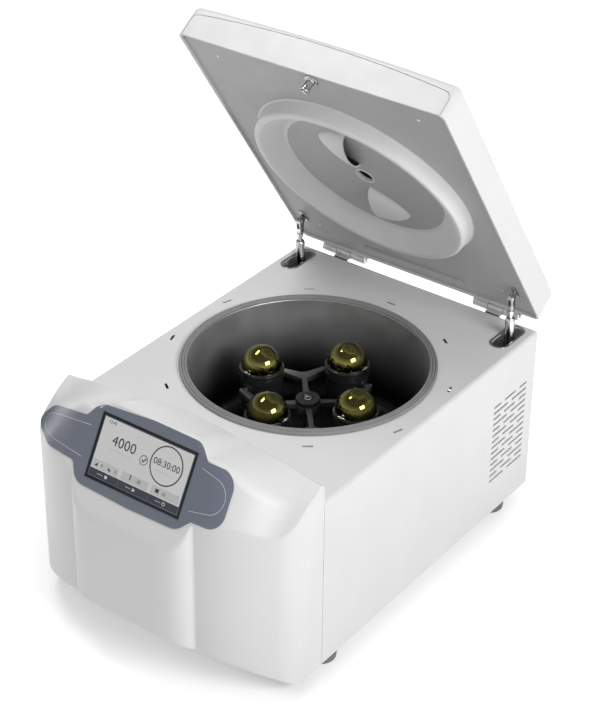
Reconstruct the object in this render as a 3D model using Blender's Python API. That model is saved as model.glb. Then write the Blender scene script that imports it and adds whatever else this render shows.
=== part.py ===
# Benchtop refrigerated centrifuge with a swing-out rotor and a lid on gas struts, lid open.
# Metres, +Z up, +X to the right of someone facing the front, the front towards -Y.
# Inside the script heights count from the housing's underside and depths from the bowl's axis.
import math

import bmesh
import bpy
from mathutils import Matrix, Vector

for old in list(bpy.data.objects):
    bpy.data.objects.remove(old, do_unlink=True)

# Housing
HOUSING_WIDTH = 0.430
HOUSING_HEIGHT = 0.267
HOUSING_REAR = 0.2697
SEAM_FRONT = 0.2566
SHEET = 0.002
EDGE_ROUND = 0.005
FOOT_HEIGHT = 0.018
FOOT_RADIUS = 0.0225
FOOT_INSET = 0.032
FOOT_FRONT = 0.225
FOOT_REAR = 0.205
BOWL_AXIS_Y = 0.04565
GAP = 0.0003
HALF_WIDTH = HOUSING_WIDTH / 2
FOOT_X = HALF_WIDTH - FOOT_INSET

# Bowl, its gasket and the slots round it
BOWL_RADIUS = 0.172
BOWL_WALL = 0.0015
BOWL_FLOOR = 0.110
BOWL_FLANGE = 0.010
COVER_CLEARANCE = 0.003
GASKET_RADIUS = BOWL_RADIUS + 0.011
GASKET_HEIGHT = 0.0036
AIR_SLOT_RADIUS = BOWL_RADIUS + 0.0344
AIR_SLOT_LENGTH = 0.015
AIR_SLOT_WIDTH = 0.004
AIR_SLOT_COUNT = 10
GUARD_RADIUS = BOWL_RADIUS + 0.0215
GUARD_WALL = 0.005
BIG_ROUND = 40
SMALL_ROUND = 12
FOOT_ROUND = 16

# Side vents
VENT_FRONT = 0.159
VENT_LENGTH = 0.089
VENT_TOP = HOUSING_HEIGHT - 0.074
VENT_PITCH = 0.010
VENT_ROWS = 14
VENT_HEIGHT = 0.0036
VENT_BRIDGE = 0.010

# Front console
FASCIA_WALL = 0.003
BULGE_HALF = 0.0995
WING_FRONT = 0.3845
BULGE_DEPTH = 0.0245
CORNER_ROUND = 0.026
CHIN_REAR = 0.290
CHIN_SLOPE = 0.566
CHIN_LIP = 0.0035
DISPLAY_SLOPE = math.radians(60.4)
DISPLAY_TOP_Y = -0.3408
DISPLAY_TOP_Z = HOUSING_HEIGHT + 0.068
DISPLAY_WIDTH = 0.158
DISPLAY_HEIGHT = 0.090
DISPLAY_BORDER = 0.0048
PANEL_THICK = 0.0006

# Lid, drawn closed and then turned open about its hinge
LID_WIDTH = HOUSING_WIDTH - 0.003
LID_HALF = LID_WIDTH / 2
LID_DEPTH = 0.526
LID_SIDE = 0.050
LID_CROWN = 0.005
LID_WALL = 0.003
LID_EDGE_ROUND = 0.010
LID_RIM_WIDTH = 0.009
LID_RIM_HEIGHT = 0.008
LID_GAP = 0.0033
LID_OPEN = math.radians(56.3)
HINGE_Y = 0.284
HINGE_Z = HOUSING_HEIGHT + 0.005
BARREL_RADIUS = 0.0078
HINGE_PIN_RADIUS = 0.003
HINGE_INNER_X = 0.098
KNUCKLE_LENGTH = 0.026
LINER_RECESS = 0.0036
LINER_SCREW_X = LID_HALF - 0.0515
LINER_SHEET = 0.002
RING_OUTER = BOWL_RADIUS - 0.0025
RING_CREST = RING_OUTER - 0.0075
RING_INNER = RING_CREST - 0.034
RING_PROUD = 0.019
PORT_RADIUS = 0.016

# Lid struts
STRUT_X = HALF_WIDTH - 0.027
STRUT_TOP_Y = 0.207
STRUT_TOP_Z = HOUSING_HEIGHT - 0.005
STRUT_FOOT_Y = 0.240
STRUT_FOOT_Z = 0.080
TUBE_RADIUS = 0.0072
ROD_RADIUS = 0.0038
EYE_HALF = 0.003
TUBE_LENGTH = 0.120
STRUT_SLOT_FRONT = 0.197
STRUT_SLOT_REAR = 0.262
STRUT_SLOT_WIDTH = 0.024

# Rotor, buckets and caps
ROTOR_TURN = math.radians(-4)
HUB_RADIUS = 0.0184
HUB_TOP = HOUSING_HEIGHT - 0.059
ARM_TOP = HUB_TOP - 0.0065
ARM_THICK = 0.009
SHAFT_RADIUS = 0.009
BUCKET_RADIUS = 0.033
BUCKET_ORBIT = 0.088
PIN_HEIGHT = ARM_TOP - 0.0015
BUCKET_DROP = 0.075
BUCKET_WALL = 0.003
TRUNNION_RADIUS = 0.0034
TRUNNION_FIT = 0.0005
CAP_HEIGHT = 0.0385
CAP_RADIUS = 0.0300
CAP_WALL = 0.002

# Drive and cooling under the bowl
DECK_TOP = 0.082
DECK_SHEET = 0.003
ISOLATOR_HEIGHT = 0.0115
MOTOR_PLATE = 0.005
MOTOR_RADIUS = 0.058
MOTOR_BOTTOM = 0.012


def material(name, colour, roughness, metallic=0.0):
    made = bpy.data.materials.new(name)
    made.use_nodes = True
    shader = made.node_tree.nodes["Principled BSDF"]
    shader.inputs["Base Color"].default_value = (*colour, 1.0)
    shader.inputs["Roughness"].default_value = roughness
    shader.inputs["Metallic"].default_value = metallic
    return made


WHITE = material("white_paint", (0.80, 0.80, 0.80), 0.4)
LINER_GREY = material("liner_grey", (0.36, 0.36, 0.36), 0.5)
SLATE = material("slate_membrane", (0.15, 0.16, 0.20), 0.45)
BLACK = material("black_plastic", (0.02, 0.02, 0.022), 0.4)
SCREEN = material("screen", (0.66, 0.66, 0.65), 0.2)
RUBBER = material("grey_rubber", (0.22, 0.22, 0.22), 0.7)
FOOT_GREY = material("foot_grey", (0.21, 0.20, 0.20), 0.7)
BOWL_GREY = material("bowl_grey", (0.10, 0.10, 0.10), 0.45, 0.4)
STEEL = material("steel", (0.55, 0.55, 0.56), 0.35, 1.0)
CHROME = material("chrome", (0.80, 0.80, 0.81), 0.08, 1.0)
HINGE_GREY = material("hinge_grey", (0.62, 0.62, 0.63), 0.4, 0.3)
GOLD = material("olive_gold", (0.50, 0.44, 0.12), 0.12, 1.0)
BUCKET_BLACK = material("bucket_black", (0.03, 0.03, 0.03), 0.35, 0.3)
ROTOR_GREY = material("rotor_grey", (0.14, 0.14, 0.15), 0.35, 0.6)
BOARD_GREEN = material("board_green", (0.03, 0.16, 0.07), 0.5)
MOTOR_GREY = material("motor_grey", (0.30, 0.31, 0.32), 0.5, 0.5)
FIN_METAL = material("fin_metal", (0.60, 0.60, 0.60), 0.4, 1.0)


def empty(name, place, parent=None, turn=(0.0, 0.0, 0.0)):
    made = bpy.data.objects.new(name, None)
    bpy.context.scene.collection.objects.link(made)
    made.location = place
    made.rotation_euler = turn
    made.parent = parent
    return made


def box(low, high):
    bm = bmesh.new()
    bmesh.ops.create_cube(bm, size=1.0)
    low, high = Vector(low), Vector(high)
    size = high - low
    move = Matrix.Translation((low + high) / 2) @ Matrix.Diagonal((*size, 1.0))
    bmesh.ops.transform(bm, matrix=move, verts=bm.verts)
    return bm


def lathe(profile, segments):
    """Turn a chain of (radius, height) points about Z; a chain off the axis closes on itself."""
    bm = bmesh.new()
    points = [bm.verts.new((r, 0.0, z)) for r, z in profile]
    edges = [bm.edges.new(pair) for pair in zip(points, points[1:])]
    if profile[0][0] > 0.0 and profile[-1][0] > 0.0:
        edges.append(bm.edges.new((points[-1], points[0])))
    bmesh.ops.spin(bm, geom=points + edges, cent=(0, 0, 0), axis=(0, 0, 1), dvec=(0, 0, 0),
                   angle=2 * math.pi, steps=segments, use_merge=True)
    bmesh.ops.remove_doubles(bm, verts=bm.verts, dist=1e-6)
    return bm


def rod(radius, start, end, segments=16):
    """A round bar from one point to another."""
    start, end = Vector(start), Vector(end)
    length = (end - start).length
    bm = lathe([(0, 0), (radius, 0), (radius, length), (0, length)], segments)
    turn = (end - start).to_track_quat("Z", "Y").to_matrix().to_4x4()
    bmesh.ops.transform(bm, matrix=Matrix.Translation(start) @ turn, verts=bm.verts)
    return bm


def prism(outline, thickness):
    """Push a flat outline in XY up by its thickness."""
    bm = bmesh.new()
    face = bm.faces.new([bm.verts.new((x, y, 0.0)) for x, y in outline])
    pushed = bmesh.ops.extrude_face_region(bm, geom=[face])
    top = [item for item in pushed["geom"] if isinstance(item, bmesh.types.BMVert)]
    bmesh.ops.translate(bm, vec=(0, 0, thickness), verts=top)
    return bm


def across(outline, left, right):
    """Push an outline of (y, z) points sideways from one x to another."""
    bm = prism(outline, right - left)
    turn = Matrix(((0, 0, 1, left), (1, 0, 0, 0), (0, 1, 0, 0), (0, 0, 0, 1)))
    bmesh.ops.transform(bm, matrix=turn, verts=bm.verts)
    return bm


def moved(bm, matrix):
    bmesh.ops.transform(bm, matrix=matrix, verts=bm.verts)
    return bm


def shifted(bm, offset):
    bmesh.ops.translate(bm, vec=offset, verts=bm.verts)
    return bm


def together(shapes):
    """Several separate shapes in one mesh, for a cutter or a set of added pieces."""
    joined = bmesh.new()
    for shape in shapes:
        bmesh.ops.recalc_face_normals(shape, faces=shape.faces)
        held = bpy.data.meshes.new("held")
        shape.to_mesh(held)
        shape.free()
        joined.from_mesh(held)
        bpy.data.meshes.remove(held)
    return joined


def rounded(corners, steps=4):
    """A closed outline from (x, y, radius) corners, each corner an arc."""
    outline = []
    count = len(corners)
    for index, (x, y, radius) in enumerate(corners):
        here = Vector((x, y))
        before = Vector(corners[index - 1][:2]) - here
        after = Vector(corners[(index + 1) % count][:2]) - here
        outline += corner_arc(here, before, after, radius, steps)
    return [(point.x, point.y) for point in outline]


def corner_arc(here, before, after, radius, steps):
    """The arc that rounds one corner, given the directions to its neighbours."""
    if radius <= 0.0 or steps < 1:
        return [here]
    half = before.angle(after) / 2
    reach = min(radius / math.tan(half), 0.49 * before.length, 0.49 * after.length)
    radius = reach * math.tan(half)
    start, end = here + before.normalized() * reach, here + after.normalized() * reach
    centre = here + (before.normalized() + after.normalized()).normalized() * (radius / math.sin(half))
    first, last = start - centre, end - centre
    swing = first.angle_signed(last)
    arc = []
    for step in range(steps + 1):
        angle = -swing * step / steps
        turned = Vector((first.x * math.cos(angle) - first.y * math.sin(angle),
                         first.x * math.sin(angle) + first.y * math.cos(angle)))
        arc.append(centre + turned)
    return arc


def solid(name, bm, finish, parent, cuts=None, joins=None):
    """Make one named piece from a mesh, cut and add to it, and hang it on its parent."""
    piece = link_mesh(name, bm)
    if joins is not None:
        combine(piece, joins, "UNION")
    if cuts is not None:
        combine(piece, cuts, "DIFFERENCE")
    return dress(piece, finish, parent)


def dress(piece, finish, parent):
    """Give a piece its material, its shading and its place in the tree."""
    piece.data.materials.clear()
    piece.data.materials.append(finish)
    piece.data.shade_smooth()
    piece.data.set_sharp_from_angle(angle=math.radians(32))
    piece.parent = parent
    return piece


def link_mesh(name, bm):
    bmesh.ops.recalc_face_normals(bm, faces=bm.faces)
    return link_as_drawn(name, bm)


def link_as_drawn(name, bm):
    mesh = bpy.data.meshes.new(name)
    bm.to_mesh(mesh)
    bm.free()
    piece = bpy.data.objects.new(name, mesh)
    bpy.context.scene.collection.objects.link(piece)
    return piece


def combine(piece, tool_shape, operation):
    tool = link_mesh("tool", tool_shape)
    step = piece.modifiers.new("combine", "BOOLEAN")
    step.operation = operation
    step.solver = "EXACT"
    step.object = tool
    bake(piece)
    bpy.data.objects.remove(tool, do_unlink=True)


def bake(piece):
    """Put the result of a piece's modifiers in its mesh."""
    seen = piece.evaluated_get(bpy.context.evaluated_depsgraph_get())
    result = bpy.data.meshes.new_from_object(seen)
    piece.modifiers.clear()
    piece.data = result


def span(side, near, far):
    """The x range between two distances from the middle, on one side."""
    return sorted((side * near, side * far))


def stadium(width, length, steps=5):
    """A slot outline with round ends, long in Y, centred on the origin."""
    radius = width / 2
    straight = length / 2 - radius
    outline = []
    for end, start in ((1, 0.0), (-1, math.pi)):
        for step in range(steps + 1):
            angle = start + math.pi * step / steps
            outline.append((radius * math.cos(angle), end * straight + radius * math.sin(angle)))
    return outline


def prism_at(outline, bottom, top, place=(0.0, 0.0), turn=0.0):
    bm = prism(outline, top - bottom)
    move = Matrix.Translation((place[0], place[1], bottom)) @ Matrix.Rotation(turn, 4, "Z")
    return moved(bm, move)


FRAME = empty("housing_frame", (0.0, BOWL_AXIS_Y, FOOT_HEIGHT))


def bevelled_box(low, high, chamfer):
    bm = box(low, high)
    bmesh.ops.bevel(bm, geom=bm.edges[:], offset=chamfer, offset_type="OFFSET", segments=1,
                    profile=0.5, affect="EDGES", material=-1)
    return bm


# Housing cover: one folded sheet, the deck and both sides
def strut_slot(bottom, top, side, grow=0.0):
    length = STRUT_SLOT_REAR - STRUT_SLOT_FRONT
    middle = (STRUT_SLOT_REAR + STRUT_SLOT_FRONT) / 2
    outline = stadium(STRUT_SLOT_WIDTH + 2 * grow, length + 2 * grow)
    return prism_at(outline, bottom, top, (side * STRUT_X, middle))


def vent_spans(row):
    """Front and rear of each slot in a row: three slots in one row, two in the next."""
    if row % 2:
        first = (VENT_LENGTH - VENT_BRIDGE) * 0.487
        return [(0.0, first), (first + VENT_BRIDGE, VENT_LENGTH)]
    short = (VENT_LENGTH - 3.15 * VENT_BRIDGE) / 2.9
    second = short + 0.95 * VENT_BRIDGE
    return [(0.0, short), (second, VENT_LENGTH - second), (VENT_LENGTH - short, VENT_LENGTH)]


def side_vents(side):
    cutters = []
    low_x, high_x = span(side, HALF_WIDTH - 3 * SHEET, HALF_WIDTH + SHEET)
    for row in range(VENT_ROWS):
        top = VENT_TOP - row * VENT_PITCH
        for front, rear in vent_spans(row):
            low = (low_x, VENT_FRONT + front, top - VENT_HEIGHT)
            cutters.append(box(low, (high_x, VENT_FRONT + rear, top)))
    return cutters


def air_slots(bottom, top):
    cutters = []
    for index in range(AIR_SLOT_COUNT):
        angle = 2 * math.pi * index / AIR_SLOT_COUNT
        place = (AIR_SLOT_RADIUS * math.sin(angle), -AIR_SLOT_RADIUS * math.cos(angle))
        half, deep = AIR_SLOT_LENGTH / 2, AIR_SLOT_WIDTH / 2
        corners = [(-half, -deep), (half, -deep), (half, deep), (-half, deep)]
        cutters.append(prism_at(corners, bottom, top, place, angle))
    return cutters


COVER_HOLE = BOWL_RADIUS + BOWL_WALL + COVER_CLEARANCE
LATCH_Y = -(LID_DEPTH - HOUSING_REAR - 0.0022) + 0.0215
LATCH_HOLE = 0.010


def housing_cover():
    outer = HALF_WIDTH
    corners = [(-outer, 0.0, 0.0), (outer, 0.0, 0.0), (outer, HOUSING_HEIGHT, EDGE_ROUND),
               (-outer, HOUSING_HEIGHT, EDGE_ROUND)]
    inner = outer - SHEET
    inside = [(-inner, -0.01, 0.0), (inner, -0.01, 0.0),
              (inner, HOUSING_HEIGHT - SHEET, EDGE_ROUND - SHEET),
              (-inner, HOUSING_HEIGHT - SHEET, EDGE_ROUND - SHEET)]
    length = HOUSING_REAR + SEAM_FRONT
    stand = Matrix(((1, 0, 0, 0), (0, 0, -1, HOUSING_REAR), (0, 1, 0, 0), (0, 0, 0, 1)))
    shell = moved(prism(rounded(corners), length), stand)
    room = moved(shifted(prism(rounded(inside), length + 0.02), (0, 0, -0.01)), stand)
    below, above = HOUSING_HEIGHT - 0.012, HOUSING_HEIGHT + 0.004
    holes = [rod(COVER_HOLE, (0, 0, below), (0, 0, above), BIG_ROUND),
             rod(LATCH_HOLE, (0, LATCH_Y, below), (0, LATCH_Y, above), 16)]
    holes += air_slots(below, above) + side_vents(1)
    holes += [strut_slot(below, above, side) for side in (-1, 1)]
    piece = solid("housing_cover", shell, WHITE, None, cuts=room)
    combine(piece, together(holes), "DIFFERENCE")
    dress(piece, WHITE, FRAME)


housing_cover()

# Bottom tray, rear panel and feet
TRAY_FRONT = -(CHIN_REAR - FASCIA_WALL - 0.002)
INNER_X = HALF_WIDTH - SHEET - GAP
REAR_INSIDE = HOUSING_REAR - SHEET - 0.0006
TRAY_WALL = 0.018
ANCHOR_SHEET = 0.003


def strut_anchor(side):
    """A bracket welded to the tray; the strut's lower eye lies just beside its face."""
    face = STRUT_X + EYE_HALF + GAP
    low_x, high_x = span(side, face, face + ANCHOR_SHEET)
    top = STRUT_FOOT_Z + 0.002
    plate = [(STRUT_FOOT_Y - 0.016, SHEET / 2), (STRUT_FOOT_Y + 0.012, SHEET / 2),
             (STRUT_FOOT_Y + 0.009, top), (STRUT_FOOT_Y - 0.009, top)]
    return across(plate, low_x, high_x)


def base_pan():
    above = 0.05
    inside = INNER_X - SHEET
    tray = box((-INNER_X, TRAY_FRONT, 0.0), (INNER_X, REAR_INSIDE, TRAY_WALL))
    room = box((-inside, TRAY_FRONT + SHEET, SHEET), (inside, REAR_INSIDE - SHEET, above))
    # The front of the tray stands inside the console's flanks
    step = INNER_X - FASCIA_WALL
    notches = []
    lips = []
    for side in (-1, 1):
        low_x, high_x = span(side, step, HALF_WIDTH + 0.02)
        notches.append(box((low_x, TRAY_FRONT - 0.01, -0.01), (high_x, -SEAM_FRONT, above)))
        low_x, high_x = span(side, step - SHEET, step - GAP)
        lips.append(box((low_x, TRAY_FRONT + GAP, GAP), (high_x, -SEAM_FRONT + SHEET, TRAY_WALL - GAP)))
    piece = solid("base_pan", tray, STEEL, None, cuts=room)
    combine(piece, together(notches), "DIFFERENCE")
    combine(piece, together(lips), "UNION")
    combine(piece, together([strut_anchor(side) for side in (-1, 1)]), "UNION")
    dress(piece, STEEL, FRAME)


base_pan()

FOOT_PROFILE = [(0, -FOOT_HEIGHT), (FOOT_RADIUS - 0.003, -FOOT_HEIGHT),
                (FOOT_RADIUS - 0.001, -FOOT_HEIGHT + 0.002), (FOOT_RADIUS, -0.004),
                (FOOT_RADIUS - 0.002, -GAP), (0, -GAP)]
for side, word in ((-1, "left"), (1, "right")):
    for y, end in ((-FOOT_FRONT, "front"), (FOOT_REAR, "rear")):
        foot = shifted(lathe(FOOT_PROFILE, FOOT_ROUND), (side * FOOT_X, y, 0.0))
        solid(f"foot_{end}_{word}", foot, FOOT_GREY, FRAME)

INLET_X, INLET_Z = -0.120, 0.075
INLET_WIDTH, INLET_HEIGHT = 0.027, 0.020
SWITCH_X, SWITCH_Z = -0.075, 0.075
SWITCH_WIDTH, SWITCH_HEIGHT = 0.013, 0.019
REAR_OUT = HOUSING_REAR - 0.0006
REAR_SLOTS = 9
REAR_SLOT_PITCH = 0.012
REAR_SLOT_HEIGHT = 0.004
REAR_SLOT_LOW = 0.060
REAR_SLOT_LEFT, REAR_SLOT_RIGHT = 0.030, 0.150


def rear_panel():
    top = HOUSING_HEIGHT - SHEET - GAP
    corners = [(-INNER_X, GAP, 0.0), (INNER_X, GAP, 0.0), (INNER_X, top, EDGE_ROUND),
               (-INNER_X, top, EDGE_ROUND)]
    stand = Matrix(((1, 0, 0, 0), (0, 0, -1, REAR_OUT), (0, 1, 0, 0), (0, 0, 0, 1)))
    plate = moved(prism(rounded(corners, 3), SHEET), stand)
    front, back = REAR_OUT - 0.01, REAR_OUT + 0.01
    cutters = []
    for x, z, width, height in ((INLET_X, INLET_Z, INLET_WIDTH, INLET_HEIGHT),
                                (SWITCH_X, SWITCH_Z, SWITCH_WIDTH, SWITCH_HEIGHT)):
        wide, tall = width / 2, height / 2
        cutters.append(box((x - wide, front, z - tall), (x + wide, back, z + tall)))
    for row in range(REAR_SLOTS):
        z = REAR_SLOT_LOW + row * REAR_SLOT_PITCH
        low, high = (REAR_SLOT_LEFT, front, z), (REAR_SLOT_RIGHT, back, z + REAR_SLOT_HEIGHT)
        cutters.append(box(low, high))
    solid("rear_panel", plate, WHITE, FRAME, cuts=together(cutters))


rear_panel()


def power_inlet():
    wide, tall = INLET_WIDTH / 2 - GAP, INLET_HEIGHT / 2 - GAP
    brim, wall = 0.004, 0.002
    body = box((-wide, -0.024, -tall), (wide, GAP, tall))
    flange = box((-wide - brim, GAP, -tall - brim), (wide + brim, 0.0025, tall + brim))
    socket = box((-wide + wall, -0.018, -tall + wall), (wide - wall, 0.01, tall - wall))
    pins = together([box((x - 0.001, -0.0185, z - 0.002), (x + 0.001, -0.004, z + 0.002))
                     for x, z in ((-0.007, -0.001), (0.0, 0.003), (0.007, -0.001))])
    move = Matrix.Translation((INLET_X, REAR_OUT, INLET_Z))
    piece = solid("power_inlet", moved(body, move), BLACK, None,
                  joins=moved(flange, move), cuts=moved(socket, move))
    combine(piece, moved(pins, move), "UNION")
    dress(piece, BLACK, FRAME)


power_inlet()


def power_switch():
    wide, tall = SWITCH_WIDTH / 2 - GAP, SWITCH_HEIGHT / 2 - GAP
    brim, wall = 0.002, 0.0012
    move = Matrix.Translation((SWITCH_X, REAR_OUT, SWITCH_Z))
    body = box((-wide, -0.016, -tall), (wide, GAP, tall))
    flange = box((-wide - brim, GAP, -tall - brim), (wide + brim, 0.002, tall + brim))
    well = box((-wide + wall, -0.012, -tall + wall), (wide - wall, 0.01, tall - wall))
    solid("switch_frame", moved(body, move), BLACK, FRAME, joins=moved(flange, move), cuts=moved(well, move))
    pivot = empty("switch_axis", (SWITCH_X, REAR_OUT - 0.004, SWITCH_Z), FRAME)
    key = [(-0.006, -0.0045), (0.0035, -0.0070), (0.0052, -0.0056), (0.0042, 0.0), (0.0068, 0.0056),
           (0.0052, 0.0070), (-0.006, 0.0045)]
    half = wide - wall - 0.0004
    solid("power_rocker", across(key, -half, half), BLACK, pivot)


power_switch()

# Deck, motor and its plate on rubber mounts
DECK_BACK = 0.200
DECK_CORNER_X, DECK_CORNER_Y = 0.146, 0.150
ISOLATOR_ORBIT = 0.076


def deck():
    reach = INNER_X - SHEET - 0.004
    bottom = SHEET + GAP
    outline = [(-reach, -DECK_BACK), (reach, -DECK_BACK), (reach, DECK_CORNER_Y),
               (DECK_CORNER_X, DECK_CORNER_Y), (DECK_CORNER_X, DECK_BACK), (-reach, DECK_BACK)]
    plate = prism_at(outline, DECK_TOP - DECK_SHEET, DECK_TOP)
    legs = []
    for side in (-1, 1):
        low_x, high_x = span(side, reach - DECK_SHEET, reach)
        legs.append(box((low_x, -DECK_BACK, bottom), (high_x, DECK_CORNER_Y, DECK_TOP - 0.001)))
    hole = rod(MOTOR_RADIUS + 0.008, (0, 0, 0.05), (0, 0, 0.12), 32)
    solid("chamber_deck", plate, STEEL, FRAME, joins=together(legs), cuts=hole)


deck()

PLATE_BOTTOM = DECK_TOP + ISOLATOR_HEIGHT + 2 * GAP
PLATE_TOP = PLATE_BOTTOM + MOTOR_PLATE
for index in range(3):
    angle = math.radians(90 + 120 * index)
    spot = (ISOLATOR_ORBIT * math.cos(angle), ISOLATOR_ORBIT * math.sin(angle), DECK_TOP + GAP)
    waist = ISOLATOR_HEIGHT / 2
    profile = [(0, 0), (0.008, 0), (0.0065, waist), (0.008, ISOLATOR_HEIGHT), (0, ISOLATOR_HEIGHT)]
    solid(f"motor_mount_{index + 1}", shifted(lathe(profile, 10), spot), RUBBER, FRAME)

plate_profile = [(SHAFT_RADIUS + 0.002, PLATE_BOTTOM), (ISOLATOR_ORBIT + 0.010, PLATE_BOTTOM),
                 (ISOLATOR_ORBIT + 0.010, PLATE_TOP), (SHAFT_RADIUS + 0.002, PLATE_TOP)]
solid("motor_plate", lathe(plate_profile, 24), STEEL, FRAME)

MOTOR_TOP = PLATE_BOTTOM - GAP
SHAFT_FOOT = MOTOR_TOP - 0.030
MOTOR_BELL = MOTOR_RADIUS - 0.008
motor_profile = [(0, MOTOR_BOTTOM), (MOTOR_BELL, MOTOR_BOTTOM), (MOTOR_BELL, MOTOR_BOTTOM + 0.012),
                 (MOTOR_RADIUS, MOTOR_BOTTOM + 0.014), (MOTOR_RADIUS, MOTOR_TOP - 0.012),
                 (MOTOR_RADIUS - 0.006, MOTOR_TOP), (SHAFT_RADIUS + 0.001, MOTOR_TOP),
                 (SHAFT_RADIUS + 0.001, SHAFT_FOOT - GAP), (0, SHAFT_FOOT - GAP)]
solid("drive_motor", lathe(motor_profile, 20), MOTOR_GREY, FRAME)

# Guard ring, bowl and gasket
GUARD_BOTTOM = DECK_TOP + GAP
GUARD_INNER = GUARD_RADIUS - GUARD_WALL
GUARD_TOP = HOUSING_HEIGHT - 0.012
guard_profile = [(GUARD_INNER, GUARD_BOTTOM), (GUARD_RADIUS, GUARD_BOTTOM),
                 (GUARD_RADIUS, GUARD_TOP), (GUARD_INNER, GUARD_TOP)]
solid("guard_ring", lathe(guard_profile, 32), STEEL, FRAME)

FLANGE_BOTTOM = HOUSING_HEIGHT + GAP
FLANGE_TOP = FLANGE_BOTTOM + BOWL_WALL
BOSS_RADIUS = SHAFT_RADIUS + 0.004
BOSS_TOP = BOWL_FLOOR + 0.024


def bowl():
    inner, floor, wall = BOWL_RADIUS, BOWL_FLOOR, BOWL_WALL
    inside = [(inner, FLANGE_TOP), (inner, floor + 0.020), (inner - 0.006, floor + 0.006),
              (inner - 0.020, floor), (0.060, floor + 0.002), (0.034, floor + 0.012), (BOSS_RADIUS, BOSS_TOP)]
    outside = [(BOSS_RADIUS, BOSS_TOP - wall - 0.001), (0.034, floor + 0.012 - wall),
               (0.060, floor + 0.002 - wall), (inner - 0.020, floor - wall),
               (inner - 0.005, floor + 0.005 - wall), (inner + wall, floor + 0.0195),
               (inner + wall, FLANGE_BOTTOM)]
    rim = [(inner + BOWL_FLANGE, FLANGE_BOTTOM), (inner + BOWL_FLANGE, FLANGE_TOP)]
    solid("bowl", lathe(inside + outside + rim, BIG_ROUND), BOWL_GREY, FRAME)


bowl()


def gasket():
    base = FLANGE_TOP + GAP
    top = base + GASKET_HEIGHT
    inner = BOWL_RADIUS - 0.0005
    lip = GASKET_RADIUS
    skirt = inner + BOWL_FLANGE + 0.0008
    # Soft ridges on top, and a skirt that drops over the bowl's flange onto the deck
    profile = [(inner, base), (inner, top - 0.0012), (inner + 0.0015, top), (inner + 0.0035, top - 0.0010),
               (inner + 0.0055, top), (inner + 0.0075, top - 0.0010), (inner + 0.0092, top - 0.0002),
               (lip, top - 0.0016), (lip + 0.0002, FLANGE_BOTTOM), (skirt, FLANGE_BOTTOM), (skirt, base)]
    solid("bowl_gasket", lathe(profile, BIG_ROUND), RUBBER, FRAME)


gasket()

# Compressor, condenser and fan beside the right vent
can = lathe([(0, SHEET + GAP), (0.050, SHEET + GAP), (0.050, 0.008), (0.042, 0.010), (0.042, 0.058),
             (0.034, 0.070), (0.018, 0.076), (0, 0.0775)], 16)
solid("compressor", shifted(can, (-(HALF_WIDTH - 0.080), 0.135, 0)), BLACK, FRAME)

COIL_DEPTH = 0.026
COIL_OUTER = STRUT_X - TUBE_RADIUS - 0.004
COIL_INNER = COIL_OUTER - COIL_DEPTH
FIN_COUNT = 11


def condenser():
    front, rear = VENT_FRONT, VENT_FRONT + VENT_LENGTH
    bottom, top = VENT_TOP - VENT_ROWS * VENT_PITCH + 0.006, VENT_TOP + 0.004
    pitch = (rear - front) / FIN_COUNT
    comb = [(front, bottom), (rear, bottom), (rear, top)]
    for index in range(FIN_COUNT - 1, 0, -1):
        edge = front + index * pitch
        comb += [(edge + pitch * 0.3, top), (edge + pitch * 0.3, bottom + 0.012),
                 (edge - pitch * 0.3, bottom + 0.012), (edge - pitch * 0.3, top)]
    comb.append((front, top))
    block = across(comb, COIL_INNER, COIL_OUTER)
    legs = []
    for y in (front + 0.001, rear - 0.007):
        low, high = (COIL_INNER + 0.004, y, SHEET + GAP), (COIL_OUTER - 0.004, y + 0.006, bottom + 0.004)
        legs.append(box(low, high))
    solid("condenser", block, FIN_METAL, FRAME, joins=together(legs))


condenser()

FAN_Y, FAN_Z = VENT_FRONT + VENT_LENGTH / 2, VENT_TOP - 0.066
FAN_RADIUS = 0.036
FAN_DEPTH = 0.016
FAN_X = COIL_INNER - GAP - FAN_DEPTH


def fan():
    half = FAN_RADIUS + 0.006
    duct = box((FAN_X, FAN_Y - half, FAN_Z - half), (FAN_X + FAN_DEPTH, FAN_Y + half, FAN_Z + half))
    bore = rod(FAN_RADIUS, (FAN_X - 0.01, FAN_Y, FAN_Z), (FAN_X + FAN_DEPTH + 0.01, FAN_Y, FAN_Z), 24)
    reach = FAN_RADIUS + 0.002
    bar = box((FAN_X, FAN_Y - 0.003, FAN_Z - reach), (FAN_X + 0.0025, FAN_Y + 0.003, FAN_Z + reach))
    piece = solid("fan_frame", duct, BLACK, None, cuts=bore)
    combine(piece, bar, "UNION")
    combine(piece, rod(0.0022, (FAN_X + 0.001, FAN_Y, FAN_Z), (FAN_X + 0.010, FAN_Y, FAN_Z), 12), "UNION")
    dress(piece, BLACK, FRAME)
    axis = empty("fan_axis", (FAN_X + 0.009, FAN_Y, FAN_Z), FRAME)
    hub = moved(lathe([(0.0026, -0.0055), (0.012, -0.0055), (0.012, 0.0055), (0, 0.0055), (0, 0.0025),
                       (0.0026, 0.0025)], 20), Matrix.Rotation(math.pi / 2, 4, "Y"))
    blades = []
    for index in range(5):
        blade = box((-0.0008, -0.007, 0.0105), (0.0008, 0.007, FAN_RADIUS - 0.002))
        pitch = Matrix.Rotation(math.radians(28), 4, "Z")
        spread = Matrix.Rotation(2 * math.pi * index / 5, 4, "X")
        blades.append(moved(blade, spread @ pitch))
    solid("fan_wheel", hub, BLACK, axis, joins=together(blades))


fan()


# Front console: a moulded shell lofted from side profiles
def blend(a, b, share):
    return a + (b - a) * share


def ease(value, start, end):
    share = min(max((value - start) / (end - start), 0.0), 1.0)
    return share * share * (3 - 2 * share)


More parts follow.
